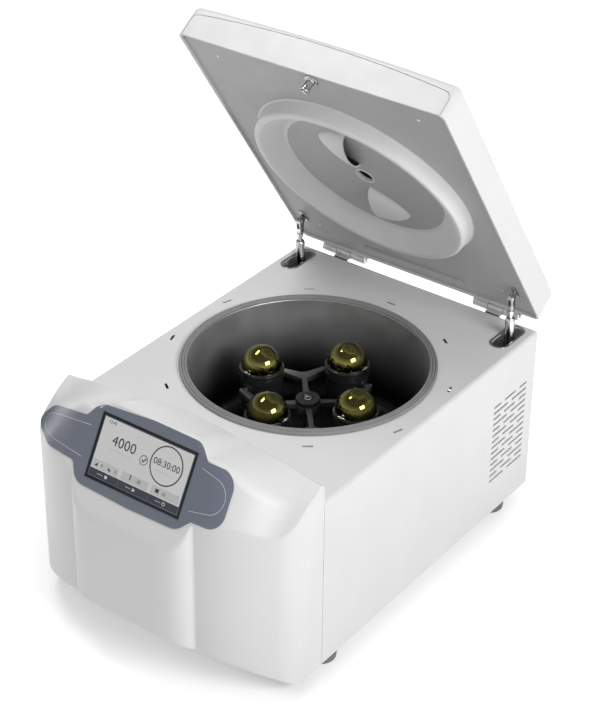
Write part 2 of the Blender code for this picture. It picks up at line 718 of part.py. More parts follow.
def on_display(down):
    """A point of the display's plane, so far down its slope from the display's top edge."""
    y = DISPLAY_TOP_Y - down * math.cos(DISPLAY_SLOPE)
    z = DISPLAY_TOP_Z - down * math.sin(DISPLAY_SLOPE)
    return Vector((y, z))


CREST_RISE = 0.018
CREST_STEP = 0.020
CREST_FALL = 0.032
HUMP_REAR_TOP = DISPLAY_TOP_Z - 0.015
HUMP_REAR_FALL = 0.065
HUMP_REAR_Y = -(SEAM_FRONT + 0.0007)
HUMP_WALL_FOOT = HOUSING_HEIGHT - 0.027
CREST_TURN = BULGE_HALF - 0.0015
ROUND_START = HALF_WIDTH - CORNER_ROUND
SIDE_REAR_TOP = DISPLAY_TOP_Z - 0.038
SIDE_SHOULDER = (-0.300, DISPLAY_TOP_Z - 0.055)
SIDE_BROW = (-0.343, DISPLAY_TOP_Z - 0.095)
SIDE_FRONT = 0.349


def front_depth(x):
    """How far the front stands ahead of the bowl's axis at a given x."""
    out = abs(x)
    if out >= BULGE_HALF:
        past = out - BULGE_HALF
        return WING_FRONT - 0.13 * past - 0.6 * past * past
    return WING_FRONT + BULGE_DEPTH * (1 - (out / BULGE_HALF) ** 6) ** 0.58


def chin_height(depth):
    return CHIN_SLOPE * (depth - CHIN_REAR)


def crest_down(x):
    """How far down the display's slope the top of the hump begins."""
    out = abs(x)
    fall = max((out - CREST_TURN) / (ROUND_START - CREST_TURN), 0.0) ** 1.6
    return -CREST_RISE + CREST_STEP * ease(out, CREST_TURN - 0.036, CREST_TURN) + CREST_FALL * fall


def console_profile(x):
    """Corners of the outer profile at x, as (y, z, radius, steps), rear to underside."""
    out = min(abs(x), ROUND_START)
    depth = front_depth(out)
    crest = on_display(crest_down(out))
    normal = Vector((-math.sin(DISPLAY_SLOPE), math.cos(DISPLAY_SLOPE)))
    offset = normal.dot(on_display(0.0))
    turn_z = (offset - normal.x * -depth) / normal.y
    bulge = 1.0 if out < BULGE_HALF else 0.0
    corners = [[HUMP_REAR_Y, HUMP_WALL_FOOT, 0.0], [HUMP_REAR_Y, HUMP_REAR_TOP - HUMP_REAR_FALL * out, 0.006],
               [crest.x, crest.y, 0.005], [-depth, turn_z, blend(0.014, 0.040, bulge)],
               [-depth, chin_height(depth), 0.008], [-CHIN_REAR, 0.0, 0.0]]
    share = max((abs(x) - ROUND_START) / CORNER_ROUND, 0.0)
    share = 1 - math.sqrt(max(1 - share * share, 0.0))
    ends = [[HUMP_REAR_Y, HUMP_WALL_FOOT, 0.0], [HUMP_REAR_Y, SIDE_REAR_TOP, 0.006],
            [*SIDE_SHOULDER, 0.030], [*SIDE_BROW, 0.020],
            [-SIDE_FRONT, chin_height(SIDE_FRONT), 0.012], [-CHIN_REAR, 0.0, 0.0]]
    return [[blend(a, b, share) for a, b in zip(one, other)] for one, other in zip(corners, ends)]


def arcs_along(corners):
    """A chain of points through the corners, with an arc at each but the first and the last."""
    points = []
    for index, (y, z, radius) in enumerate(corners):
        here = Vector((y, z))
        if index in (0, len(corners) - 1):
            points.append(here)
            continue
        before = Vector(corners[index - 1][:2]) - here
        after = Vector(corners[index + 1][:2]) - here
        points += corner_arc(here, before, after, radius, (1, 2, 4, 2)[index - 1])
    return points


def outer_section(x):
    return arcs_along(console_profile(x)) + [Vector((HUMP_REAR_Y, 0.0))]


def one_wall_in(corners):
    """The profile's lines moved in by the wall, with their crossings as the new corners."""
    lines = []
    for one, other in zip(corners, corners[1:]):
        along = (Vector(other[:2]) - Vector(one[:2])).normalized()
        lines.append((Vector(one[:2]) + Vector((-along.y, along.x)) * FASCIA_WALL, along))
    inner = []
    for (start, along), (other, other_along), corner in zip(lines, lines[1:], corners[1:]):
        reach = (other - start).cross(other_along) / along.cross(other_along)
        crossing = start + along * reach
        inner.append([crossing.x, crossing.y, max(corner[2] - FASCIA_WALL, 0.001)])
    return inner, lines[-1]


def inner_section(x):
    """The hollow behind the console's wall, open towards the housing and the bench."""
    inner, (chin_start, chin_along) = one_wall_in(console_profile(x))
    behind, below = HUMP_REAR_Y + 0.01, -0.01
    lip_y = CHIN_LIP - CHIN_REAR
    lip_z = chin_start.y + chin_along.y / chin_along.x * (lip_y - chin_start.x)
    foot = [HUMP_REAR_Y - FASCIA_WALL, HUMP_WALL_FOOT, 0.0]
    chain = arcs_along([foot] + inner + [[lip_y, lip_z, 0.0]])
    return [Vector((behind, below)), Vector((behind, HUMP_WALL_FOOT))] + chain + [Vector((lip_y, below))]


def loft(xs, sections):
    """A closed body through a row of closed sections, each at its own x."""
    bm = bmesh.new()
    rows = [[bm.verts.new((x, point.x, point.y)) for point in section] for x, section in zip(xs, sections)]
    for row, following in zip(rows, rows[1:]):
        for index in range(len(row)):
            back = index - 1
            bm.faces.new((row[back], row[index], following[index], following[back]))
    bm.faces.new(rows[0])
    bm.faces.new(list(reversed(rows[-1])))
    return bm


def one_wall_narrower(x):
    """Where a station of the hollow lies: as outside, but a wall short of it in the end rounds."""
    past = max(abs(x) - ROUND_START, 0.0)
    return math.copysign(abs(x) - past * FASCIA_WALL / CORNER_ROUND, x)


def stations():
    """Where the console's profiles stand: over the bulge, along the wing and round the end."""
    over_bulge = [share * BULGE_HALF for share in (0.0, 0.35, 0.62, 0.74, 0.84, 0.915, 0.96, 0.99, 1.0)]
    wing = ROUND_START - BULGE_HALF
    along_wing = [BULGE_HALF + share * wing for share in (0.14, 0.34, 0.59, 0.81, 1.0)]
    round_end = [ROUND_START + share * CORNER_ROUND for share in (0.38, 0.65, 0.85, 0.955, 1.0)]
    return over_bulge + along_wing + round_end


def front_fascia():
    half = stations()
    xs = [-x for x in reversed(half[1:])] + half
    outside = loft(xs, [outer_section(x) for x in xs])
    hollow = loft([one_wall_narrower(x) for x in xs], [inner_section(x) for x in xs])
    piece = solid("front_fascia", outside, WHITE, None, cuts=hollow)
    place = Matrix.Translation((0.0, DISPLAY_TOP_Y, DISPLAY_TOP_Z)) @ Matrix.Rotation(DISPLAY_SLOPE, 4, "X")
    combine(piece, moved(display_window(), place), "DIFFERENCE")
    dress(piece, WHITE, FRAME)


def display_window():
    """The cut for the display, drawn in the display's own plane."""
    half = DISPLAY_WIDTH / 2 + GAP
    return box((-half, -DISPLAY_HEIGHT - GAP, -0.02), (half, GAP, 0.02))


front_fascia()
DISPLAY = empty("display_frame", (0.0, DISPLAY_TOP_Y, DISPLAY_TOP_Z), FRAME, (DISPLAY_SLOPE, 0.0, 0.0))

# Control panel overlay, in the display's plane, x and distance down the slope with corner radii
PANEL_CORNERS = [(-0.090, -0.009, 0.022), (0.000, -0.0150, 0.300), (0.078, -0.0140, 0.020),
                 (0.096, 0.006, 0.006), (0.148, 0.006, 0.034), (0.146, 0.084, 0.036),
                 (0.098, 0.086, 0.006), (0.080, 0.104, 0.024), (0.000, 0.1055, 0.300),
                 (-0.092, 0.102, 0.024), (-0.104, 0.077, 0.008), (-0.150, 0.073, 0.020),
                 (-0.186, 0.048, 0.022), (-0.162, 0.020, 0.018), (-0.103, 0.014, 0.008)]


def control_panel():
    outline = rounded([(x, -down, radius) for x, down, radius in PANEL_CORNERS], 5)
    sheet = prism_at(outline, GAP, GAP + PANEL_THICK)
    solid("control_panel", sheet, SLATE, DISPLAY, cuts=display_window())


control_panel()

BEZEL_TOP = GAP + PANEL_THICK + 0.0006
BEZEL_BACK = -0.010


def display_parts():
    half, inner = DISPLAY_WIDTH / 2, DISPLAY_WIDTH / 2 - DISPLAY_BORDER
    frame = box((-half, -DISPLAY_HEIGHT, BEZEL_BACK), (half, 0.0, BEZEL_TOP))
    tray = box((-inner, -DISPLAY_HEIGHT + DISPLAY_BORDER, -0.003), (inner, -DISPLAY_BORDER, 0.01))
    solid("display_bezel", frame, BLACK, DISPLAY, cuts=tray)
    inner -= GAP
    glass = box((-inner, -DISPLAY_HEIGHT + DISPLAY_BORDER + GAP, -0.003 + GAP),
                (inner, -DISPLAY_BORDER - GAP, BEZEL_TOP - 0.0005))
    solid("display_glass", glass, SCREEN, DISPLAY)
    top = BEZEL_BACK - 0.010
    board = box((-0.070, -DISPLAY_HEIGHT + 0.008, top - 0.0016), (0.070, -0.008, top))
    posts = together([rod(0.003, (x, y, top - 0.0008), (x, y, BEZEL_BACK - GAP), 10)
                      for x in (-0.060, 0.060) for y in (-0.014, -DISPLAY_HEIGHT + 0.014)])
    solid("control_board", board, BOARD_GREEN, DISPLAY, joins=posts)


display_parts()

# Lid latch under the deck
BOLT_RADIUS = 0.0026
BOLT_Z = HOUSING_HEIGHT - 0.0075
STRIKER_RADIUS = 0.006
STRIKER_REACH = 0.0148


def latch():
    top = HOUSING_HEIGHT - SHEET - GAP
    case = box((-0.019, LATCH_Y - 0.015, top - 0.034), (0.034, LATCH_Y + 0.015, top))
    well = rod(LATCH_HOLE, (0, LATCH_Y, top - 0.024), (0, LATCH_Y, top + 0.01), 20)
    guide = rod(BOLT_RADIUS + GAP, (0.002, LATCH_Y, BOLT_Z), (0.029, LATCH_Y, BOLT_Z), 12)
    bore = rod(BOLT_RADIUS + 0.002, (0.0138, LATCH_Y, BOLT_Z), (0.031, LATCH_Y, BOLT_Z), 12)
    piece = solid("latch_case", case, BLACK, None, cuts=well)
    combine(piece, guide, "DIFFERENCE")
    combine(piece, bore, "DIFFERENCE")
    dress(piece, BLACK, FRAME)
    start = LATCH_HOLE + 0.0006
    bolt = lathe([(0, 0), (BOLT_RADIUS - 0.0008, 0), (BOLT_RADIUS, 0.0012), (BOLT_RADIUS, 0.0105),
                  (BOLT_RADIUS + 0.0014, 0.0108), (BOLT_RADIUS + 0.0014, 0.0125), (0, 0.0125)], 12)
    slide = empty("latch_axis", (start + 0.0095, LATCH_Y, BOLT_Z), FRAME)
    turn = Matrix.Rotation(math.pi / 2, 4, "Y")
    solid("latch_bolt", shifted(moved(bolt, turn), (-0.0095, 0, 0)), STEEL, slide)


latch()

# Trim plates round the strut slots
for side, word in ((-1, "left"), (1, "right")):
    ring = strut_slot(HOUSING_HEIGHT + GAP, HOUSING_HEIGHT + 0.0014, side, 0.003)
    hole = strut_slot(HOUSING_HEIGHT - 0.002, HOUSING_HEIGHT + 0.004, side)
    solid(f"slot_trim_{word}", ring, CHROME, FRAME, cuts=hole)

# Hinges: the middle knuckle on the rear panel, the outer two on the lid, one pin through all three
LID = empty("lid_axis", (0.0, HINGE_Y, HINGE_Z), FRAME, (-LID_OPEN, 0.0, 0.0))
LID_REAR = HOUSING_REAR + 0.0022
LID_FRONT = LID_REAR - LID_DEPTH
LID_RIM = HOUSING_HEIGHT + LID_GAP
TO_LID = Matrix.Translation((0.0, -HINGE_Y, -HINGE_Z))
LEAF = 0.0025


def knuckle(left, right, wall, leaf, tie):
    """A barrel, a leaf along the wall and the tie between them, drawn about the pin."""
    steps = 16
    angles = [2 * math.pi * step / steps for step in range(steps)]
    ring = [(BARREL_RADIUS * math.cos(angle), BARREL_RADIUS * math.sin(angle)) for angle in angles]
    leaf = box((left, wall, leaf[0]), (right, wall + LEAF, leaf[1]))
    tie = box((left, wall, tie[0]), (right, -HINGE_PIN_RADIUS, tie[1]))
    return across(ring, left, right), leaf, tie


def hinge(side, word):
    low, high = span(side, HINGE_INNER_X, HINGE_INNER_X + 3 * KNUCKLE_LENGTH)
    first = low + KNUCKLE_LENGTH + GAP
    second = high - KNUCKLE_LENGTH - GAP
    # The fixed leaf stays under the closed lid's rim
    wall = HOUSING_REAR + GAP - HINGE_Y
    barrel, leaf, tie = knuckle(first, second, wall, (-0.045, -0.0025), (-0.0050, -0.0028))
    piece = solid(f"hinge_base_{word}", barrel, HINGE_GREY, None, joins=leaf)
    combine(piece, tie, "UNION")
    bore_hinge(piece, low, high, empty(f"hinge_seat_{word}", (0, HINGE_Y, HINGE_Z), FRAME))
    wall = LID_REAR + GAP - HINGE_Y
    barrel, leaf, tie = knuckle(low, high, wall, (0.0, 0.040), (-0.0012, 0.0020))
    piece = solid(f"hinge_leaf_{word}", barrel, HINGE_GREY, None, joins=leaf)
    combine(piece, tie, "UNION")
    room = box((first - GAP, wall - 0.004, -0.02), (second + GAP, 0.02, BARREL_RADIUS + 0.0012))
    combine(piece, room, "DIFFERENCE")
    bore_hinge(piece, low, high, LID)
    head = 0.0012
    pin = rod(HINGE_PIN_RADIUS, (low - head, 0, 0), (high + head, 0, 0), 12)
    solid(f"hinge_pin_{word}", pin, STEEL, LID)


def bore_hinge(piece, low, high, parent):
    bore = rod(HINGE_PIN_RADIUS + GAP, (low - 0.01, 0, 0), (high + 0.01, 0, 0), 12)
    combine(piece, bore, "DIFFERENCE")
    dress(piece, HINGE_GREY, parent)


for side, word in ((-1, "left"), (1, "right")):
    hinge(side, word)

# Lid shell
FRONT_RECESS = 0.0015


def front_outline(inset):
    """Outline of the front trim: straight at the rim, crowned along the top."""
    half, low = LID_HALF - 0.003 - inset, 0.0006 + inset
    side_top, middle_top = LID_SIDE - 0.018 - inset, LID_SIDE - 0.0045 - inset
    outline = [(-half, low), (half, low), (half - 0.0015, side_top - 0.006)]
    count = 12
    reach = half - 0.006
    for step in range(count + 1):
        x = reach * (1 - 2 * step / count)
        share = (x / reach) ** 2
        outline.append((x, blend(middle_top, side_top, share)))
    outline.append((-half + 0.0015, side_top - 0.006))
    return outline


def front_slab(inset, front, rear):
    slab = prism(front_outline(inset), rear - front)
    stand = Matrix(((1, 0, 0, 0), (0, 0, -1, rear), (0, 1, 0, LID_RIM), (0, 0, 0, 1)))
    return moved(slab, stand)


def crown_height(x):
    return LID_RIM + LID_SIDE + LID_CROWN * (1 - (x / LID_HALF) ** 2)


def lid_shell():
    bm = bmesh.new()
    count = 10
    xs = [LID_HALF * (2 * step / count - 1) for step in range(count + 1)]
    tops = [crown_height(x) for x in xs]
    rows = []
    for y in (LID_FRONT, LID_REAR):
        crown = [bm.verts.new((x, y, z)) for x, z in zip(xs, tops)]
        rows.append([bm.verts.new((-LID_HALF, y, LID_RIM))] + crown + [bm.verts.new((LID_HALF, y, LID_RIM))])
    front, rear = rows
    for index in range(len(front) - 1):
        bm.faces.new((front[index], front[index + 1], rear[index + 1], rear[index]))
    bm.faces.new(list(reversed(front)))
    bm.faces.new(rear)
    bmesh.ops.recalc_face_normals(bm, faces=bm.faces)
    if sum(face.normal.z * face.calc_area() for face in bm.faces) < 0:
        bmesh.ops.reverse_faces(bm, faces=bm.faces)
    soft = [edge for edge in bm.edges if len(edge.link_faces) == 2 and edge.calc_face_angle() > 0.6]
    bmesh.ops.bevel(bm, geom=soft, offset=LID_EDGE_ROUND, offset_type="OFFSET", segments=3, profile=0.5,
                    affect="EDGES", material=-1)
    piece = link_as_drawn("lid_shell", bm)
    wall = piece.modifiers.new("wall", "SOLIDIFY")
    wall.thickness = LID_WALL
    wall.offset = -1.0
    wall.use_even_offset = True
    bake(piece)
    return piece


def lid_details(piece):
    deep = LID_WALL / 2
    rim_out = LID_HALF - deep
    rim_top = LID_RIM + LID_RIM_HEIGHT
    rim = box((-rim_out, LID_FRONT + deep, LID_RIM + GAP), (rim_out, LID_REAR - deep, rim_top))
    inner, front, rear = LID_HALF - LID_RIM_WIDTH, LID_FRONT + LID_RIM_WIDTH, LID_REAR - LID_RIM_WIDTH
    room = box((-inner, front, LID_RIM - 0.01), (inner, rear, LID_RIM + 0.02))
    frame = link_mesh("rim_frame", rim)
    combine(frame, room, "DIFFERENCE")
    held = bmesh.new()
    held.from_mesh(frame.data)
    bpy.data.objects.remove(frame, do_unlink=True)
    combine(piece, held, "UNION")
    posts = []
    for x in (-LINER_SCREW_X, LINER_SCREW_X):
        for y in (LID_REAR - 0.052, LID_REAR - 0.488):
            top = crown_height(x) - LID_WALL / 2
            posts.append(rod(0.006, (x, y, LINER_TOP + GAP), (x, y, top), 10))
    combine(piece, together(posts), "UNION")
    cutters = [front_slab(0.0, LID_FRONT - 0.01, LID_FRONT + FRONT_RECESS),
               rod(PORT_RADIUS + GAP, (0, 0, LID_RIM + 0.03), (0, 0, LID_RIM + 0.08), 24)]
    grip = BARREL_RADIUS + 0.0015
    for side in (-1, 1):
        low, high = span(side, HINGE_INNER_X - 0.0015, HINGE_INNER_X + 3 * KNUCKLE_LENGTH + 0.0015)
        cutters.append(rod(grip, (low, HINGE_Y, HINGE_Z), (high, HINGE_Y, HINGE_Z), 20))
    combine(piece, together(cutters), "DIFFERENCE")
    piece.data.transform(TO_LID)
    dress(piece, WHITE, LID)


LINER_BOTTOM = LID_RIM + LINER_RECESS
LINER_TOP = LINER_BOTTOM + LINER_SHEET
lid_details(lid_shell())

front_trim = moved(front_slab(0.0004, LID_FRONT, LID_FRONT + FRONT_RECESS - GAP), TO_LID)
solid("lid_front_trim", front_trim, WHITE, LID)

# Lid liner: a formed sheet with a ring that drops into the bowl's mouth
SCOOP_REACH = 0.067
SCOOP_LENGTH = 0.052
SCOOP_HALF = 0.036
SCOOP_RISE = 0.015
BAR_HALF_LENGTH = 0.091
DISH_FLOOR = LID_RIM + 0.005


def scoop(turned, shrink):
    """Half a cone lying on the dish, its mouth along a radius and its tip to one side."""
    cone = lathe([(0, 0), (1, 0), (0.8, 0.4), (0, 1)], 16)
    size = Matrix.Diagonal((SCOOP_RISE * shrink, SCOOP_HALF * shrink, SCOOP_LENGTH * shrink, 1.0))
    lay = Matrix.Rotation(-math.pi / 2, 4, "Y")
    place = Matrix.Translation((0.002, -SCOOP_REACH, DISH_FLOOR))
    return moved(cone, Matrix.Rotation(turned, 4, "Z") @ place @ lay @ size)


def liner_ring():
    """The ring's section: its face towards the bowl from outside in, then its back."""
    crest = LID_RIM - RING_PROUD
    back = DISH_FLOOR + LINER_SHEET
    port = PORT_RADIUS + GAP
    face = [(RING_OUTER + 0.004, LINER_BOTTOM + 0.0002), (RING_OUTER, LINER_BOTTOM),
            (RING_CREST + 0.004, crest + 0.002), (RING_CREST, crest), (RING_CREST - 0.004, crest + 0.0005),
            (RING_INNER + 0.010, DISH_FLOOR - 0.004), (RING_INNER, DISH_FLOOR), (port, DISH_FLOOR)]
    rear = [(port, back), (RING_INNER + 0.001, back), (RING_INNER + 0.012, back - 0.004),
            (RING_CREST - 0.003, crest + 0.003), (RING_CREST, crest + 0.0026),
            (RING_CREST + 0.0025, crest + 0.004), (RING_OUTER - 0.002, LINER_TOP),
            (RING_OUTER + 0.004, LINER_TOP - 0.0002)]
    return face + rear


def lid_liner():
    edge = LID_RIM_WIDTH + GAP
    inner_x, front, rear = LID_HALF - edge, LID_FRONT + edge, LID_REAR - edge
    sheet = box((-inner_x, front, LINER_BOTTOM), (inner_x, rear, LINER_TOP))
    hole = rod(RING_OUTER + 0.001, (0, 0, LINER_BOTTOM - 0.02), (0, 0, LINER_TOP + 0.02), BIG_ROUND)
    piece = solid("lid_liner", sheet, LINER_GREY, None, cuts=hole)
    combine(piece, lathe(liner_ring(), BIG_ROUND), "UNION")
    keep = DISH_FLOOR + LINER_SHEET / 2
    for turned in (0.0, math.pi):
        cover = link_mesh("scoop", scoop(turned, 1.0))
        combine(cover, box((-0.3, -0.3, keep), (0.3, 0.3, keep + 0.1)), "DIFFERENCE")
        held = bmesh.new()
        held.from_mesh(cover.data)
        bpy.data.objects.remove(cover, do_unlink=True)
        combine(piece, held, "UNION")
    for turned in (0.0, math.pi):
        inward = Matrix.Rotation(turned, 4, "Z") @ Matrix.Translation((0.004, -0.008, 0.0))
        combine(piece, moved(scoop(0.0, 0.86), inward), "DIFFERENCE")
    low = (-BAR_HALF_LENGTH, LID_REAR - 0.036, LINER_BOTTOM - 0.003)
    high = (BAR_HALF_LENGTH, LID_REAR - 0.023, LINER_TOP - 0.0006)
    combine(piece, bevelled_box(low, high, 0.0012), "UNION")
    piece.data.transform(TO_LID)
    dress(piece, LINER_GREY, LID)


lid_liner()

# Viewing port, striker and the strut brackets
PORT_TOP = LID_RIM + LID_SIDE + LID_CROWN
PORT_BORE = 0.0125
PORT_GLASS = DISH_FLOOR + 0.030
PORT_LIP = DISH_FLOOR - 0.0005
port_profile = [(0, PORT_GLASS), (PORT_BORE, PORT_GLASS), (PORT_BORE, PORT_LIP),
                (PORT_RADIUS - GAP, PORT_LIP), (PORT_RADIUS - GAP, PORT_TOP + GAP),
                (PORT_RADIUS + 0.003, PORT_TOP + GAP), (PORT_RADIUS + 0.002, PORT_TOP + 0.0016),
                (0, PORT_TOP + 0.0016)]
solid("viewing_port", moved(lathe(port_profile, 24), TO_LID), BLACK, LID)

STRIKER_LOW = LID_RIM - STRIKER_REACH


def striker():
    top = LINER_BOTTOM - GAP
    flange, hollow, depth = 0.010, 0.0042, STRIKER_LOW + 0.012
    profile = [(hollow, STRIKER_LOW), (STRIKER_RADIUS - 0.0006, STRIKER_LOW),
               (STRIKER_RADIUS, STRIKER_LOW + 0.0008), (STRIKER_RADIUS, top - 0.002), (flange, top - 0.002),
               (flange, top), (0, top), (0, depth), (hollow, depth)]
    post = shifted(lathe(profile, 16), (0, LATCH_Y, 0))
    hole = rod(BOLT_RADIUS + 0.0009, (-0.02, LATCH_Y, BOLT_Z), (0.02, LATCH_Y, BOLT_Z), 12)
    piece = solid("lid_striker", post, CHROME, None, cuts=hole)
    piece.data.transform(TO_LID)
    piece.parent = LID


striker()

STRUT_ROUND = 0.0055
EAR_HALF = 0.0014


def strut_frame(side):
    """Where the strut's upper pivot lies at rest, in the open lid."""
    closed = Vector((0.0, STRUT_TOP_Y - HINGE_Y, STRUT_TOP_Z - HINGE_Z))
    opened = Matrix.Rotation(-LID_OPEN, 3, "X") @ closed
    return Vector((side * STRUT_X, HINGE_Y + opened.y, HINGE_Z + opened.z))


def strut_bracket(side, word):
    top = LINER_BOTTOM - GAP
    base = box((-0.010, -0.013, top - 0.002 - STRUT_TOP_Z), (0.010, 0.013, top - STRUT_TOP_Z))
    ear = [(-0.007, top - 0.001 - STRUT_TOP_Z), (0.009, top - 0.001 - STRUT_TOP_Z)]
    steps = 6
    for step in range(steps + 1):
        angle = -math.pi * step / steps
        ear.append((STRUT_ROUND * math.cos(angle), STRUT_ROUND * math.sin(angle)))
    plate = across(ear, -EAR_HALF, EAR_HALF)
    bore = rod(0.0022 + GAP, (-0.02, 0, 0), (0.02, 0, 0), 12)
    seat = empty(f"strut_seat_{word}", (side * STRUT_X, STRUT_TOP_Y - HINGE_Y, STRUT_TOP_Z - HINGE_Z), LID)
    solid(f"strut_bracket_{word}", base, CHROME, seat, joins=plate, cuts=bore)


def lid_strut(side, word):
    top = strut_frame(side)
    foot = Vector((side * STRUT_X, STRUT_FOOT_Y, STRUT_FOOT_Z))
    reach = foot - top
    lean = math.atan2(reach.y, -reach.z)
    length = reach.length
    pivot = empty(f"strut_axis_{word}", top, FRAME, (lean, 0.0, 0.0))
    cheek = EAR_HALF + GAP
    neck = 0.014
    fork = [(-0.0042, -neck), (0.0042, -neck)]
    for step in range(7):
        angle = math.pi * step / 6
        fork.append((STRUT_ROUND * math.cos(angle), STRUT_ROUND * math.sin(angle)))
    cheeks = [across(fork, cheek, cheek + 0.0022), across(fork, -cheek - 0.0022, -cheek)]
    yoke = box((-cheek - 0.0025, -0.0047, -neck - 0.005), (cheek + 0.0025, 0.0047, -STRUT_ROUND - 0.005))
    pin = rod(0.0022, (-cheek - 0.0030, 0, 0), (cheek + 0.0030, 0, 0), 12)
    neck_rod = rod(0.0036, (0, 0, -neck - 0.0185), (0, 0, -neck - 0.004), 12)
    start = -neck - 0.018
    tube = lathe([(0, start), (TUBE_RADIUS - 0.0012, start), (TUBE_RADIUS, start - 0.0012),
                  (TUBE_RADIUS, start - TUBE_LENGTH), (ROD_RADIUS + GAP, start - TUBE_LENGTH),
                  (ROD_RADIUS + GAP, start - 0.006), (0, start - 0.006)], 14)
    piece = solid(f"strut_tube_{word}", tube, CHROME, None, joins=neck_rod)
    for shape in [yoke] + cheeks + [pin]:
        combine(piece, shape, "UNION")
    dress(piece, CHROME, pivot)
    # The rod leaves the tube downwards and ends in an eye beside its anchor
    shank = rod(ROD_RADIUS, (0, 0, start - TUBE_LENGTH + 0.030), (0, 0, -length + 0.006), 12)
    eye = moved(lathe([(0.0, -EYE_HALF), (0.007, -EYE_HALF), (0.007, EYE_HALF), (0.0, EYE_HALF)], 16),
                Matrix.Translation((0, 0, -length)) @ Matrix.Rotation(math.pi / 2, 4, "Y"))
    solid(f"strut_rod_{word}", shank, STEEL, pivot, joins=eye)


for side, word in ((-1, "left"), (1, "right")):
    strut_bracket(side, word)
    lid_strut(side, word)

# Rotor: hub, four arms that fork towards the buckets' pins, and the clamp knob
ROTOR = empty("rotor_axis", (0.0, 0.0, 0.0), FRAME, (0.0, 0.0, ROTOR_TURN))
SHAFT_NECK = SHAFT_RADIUS - 0.002
SHAFT_SHOULDER = ARM_TOP - 0.0235
SHAFT_TOP = ARM_TOP - 0.005
shaft_profile = [(0, SHAFT_FOOT), (SHAFT_RADIUS, SHAFT_FOOT), (SHAFT_RADIUS, SHAFT_SHOULDER - 0.002),
                 (SHAFT_NECK, SHAFT_SHOULDER), (SHAFT_NECK, SHAFT_TOP), (0, SHAFT_TOP)]
solid("motor_shaft", lathe(shaft_profile, 20), STEEL, ROTOR)

FORK_START = 0.070
BAR_HALF = 0.0035
TRUNNION_GAP = 0.0030
PIN_OUT = BUCKET_RADIUS + TRUNNION_GAP


def beside_bucket(out, aside):
    """A point given along a bucket's radius and beside it, turned into an arm's own plan."""
    return ((out + aside) * math.sqrt(0.5), (aside - out) * math.sqrt(0.5))


def arm_outline():
    """One arm in plan along +X: narrow by the hub, then a fork to a pin block beside each bucket."""
    right = [(0.008, -0.0075), (HUB_RADIUS + 0.004, -0.0045), (FORK_START - 0.008, -BAR_HALF)]
    for along, out in ((-0.008, 0.0), (0.008, 0.0), (0.007, 0.006), (-0.001, 0.008)):
        right.append(beside_bucket(BUCKET_ORBIT + along, PIN_OUT + out))
    right.append((FORK_START + 0.010, -0.004))
    left = [(x, -y) for x, y in reversed(right)]
    return right + left


def rotor_cross():
    bottom = ARM_TOP - ARM_THICK
    bore, foot, top = SHAFT_NECK + 0.0005, SHAFT_SHOULDER + 0.002, ARM_TOP - 0.001
    wide = HUB_RADIUS - 0.0009
    hub = lathe([(bore, foot), (wide - 0.004, foot), (wide, foot + 0.006), (wide, top), (bore, top)], 24)
    piece = solid("rotor_cross", hub, ROTOR_GREY, None)
    for index in range(4):
        top = ARM_TOP - 0.0004 * (index % 2)
        arm = prism_at(arm_outline(), bottom, top, (0, 0), math.radians(45 + 90 * index))
        combine(piece, arm, "UNION")
    core = rod(bore, (0, 0, foot - 0.03), (0, 0, HUB_TOP + 0.03), 24)
    combine(piece, core, "DIFFERENCE")
    pins = []
    for index in range(4):
        turn = Matrix.Rotation(math.radians(90 * index), 4, "Z")
        for side in (-1, 1):
            start = Vector((BUCKET_ORBIT, side * (PIN_OUT + 0.003), PIN_HEIGHT))
            end = Vector((BUCKET_ORBIT, side * (BUCKET_RADIUS - 0.0030), PIN_HEIGHT))
            pins.append(rod(TRUNNION_RADIUS, turn @ start, turn @ end, 10))
    combine(piece, together(pins), "UNION")
    dress(piece, ROTOR_GREY, ROTOR)


rotor_cross()
knob = [(0, ARM_TOP + GAP), (HUB_RADIUS, ARM_TOP + GAP), (HUB_RADIUS, HUB_TOP - 0.0015),
        (HUB_RADIUS - 0.0015, HUB_TOP), (0.009, HUB_TOP), (0.0075, HUB_TOP - 0.0018), (0, HUB_TOP - 0.0018)]
solid("rotor_knob", lathe(knob, 20), BLACK, ROTOR)

BUCKET_TOP = 0.0185
BUCKET_BOTTOM = -BUCKET_DROP
BOSS_AT_PIN = 0.0085


def bucket(pivot, number):
    outer = BUCKET_RADIUS - 0.0015
    inner = outer - BUCKET_WALL
    profile = [(0, BUCKET_BOTTOM), (outer - 0.012, BUCKET_BOTTOM), (outer - 0.005, BUCKET_BOTTOM + 0.004),
               (outer - 0.002, BUCKET_BOTTOM + 0.014), (outer, BUCKET_TOP - 0.012),
               (outer + 0.001, BUCKET_TOP - 0.010), (outer + 0.001, BUCKET_TOP), (inner, BUCKET_TOP),
               (inner - 0.002, BUCKET_BOTTOM + 0.016), (inner - 0.006, BUCKET_BOTTOM + 0.007),
               (0, BUCKET_BOTTOM + 0.005)]
    bosses, seats = [], []
    for side in (-1, 1):
        near, far = side * (inner + 0.0006), side * BUCKET_RADIUS
        bosses.append(rod(BOSS_AT_PIN, (0, near, 0), (0, far, 0), 10))
        near, far = side * (BUCKET_RADIUS - 0.0033), side * (BUCKET_RADIUS + 0.01)
        seats.append(rod(TRUNNION_RADIUS + TRUNNION_FIT, (0, near, 0), (0, far, 0), 10))
    bosses, seats = together(bosses), together(seats)
    solid(f"bucket_{number}", lathe(profile, SMALL_ROUND), BUCKET_BLACK, pivot, joins=bosses, cuts=seats)


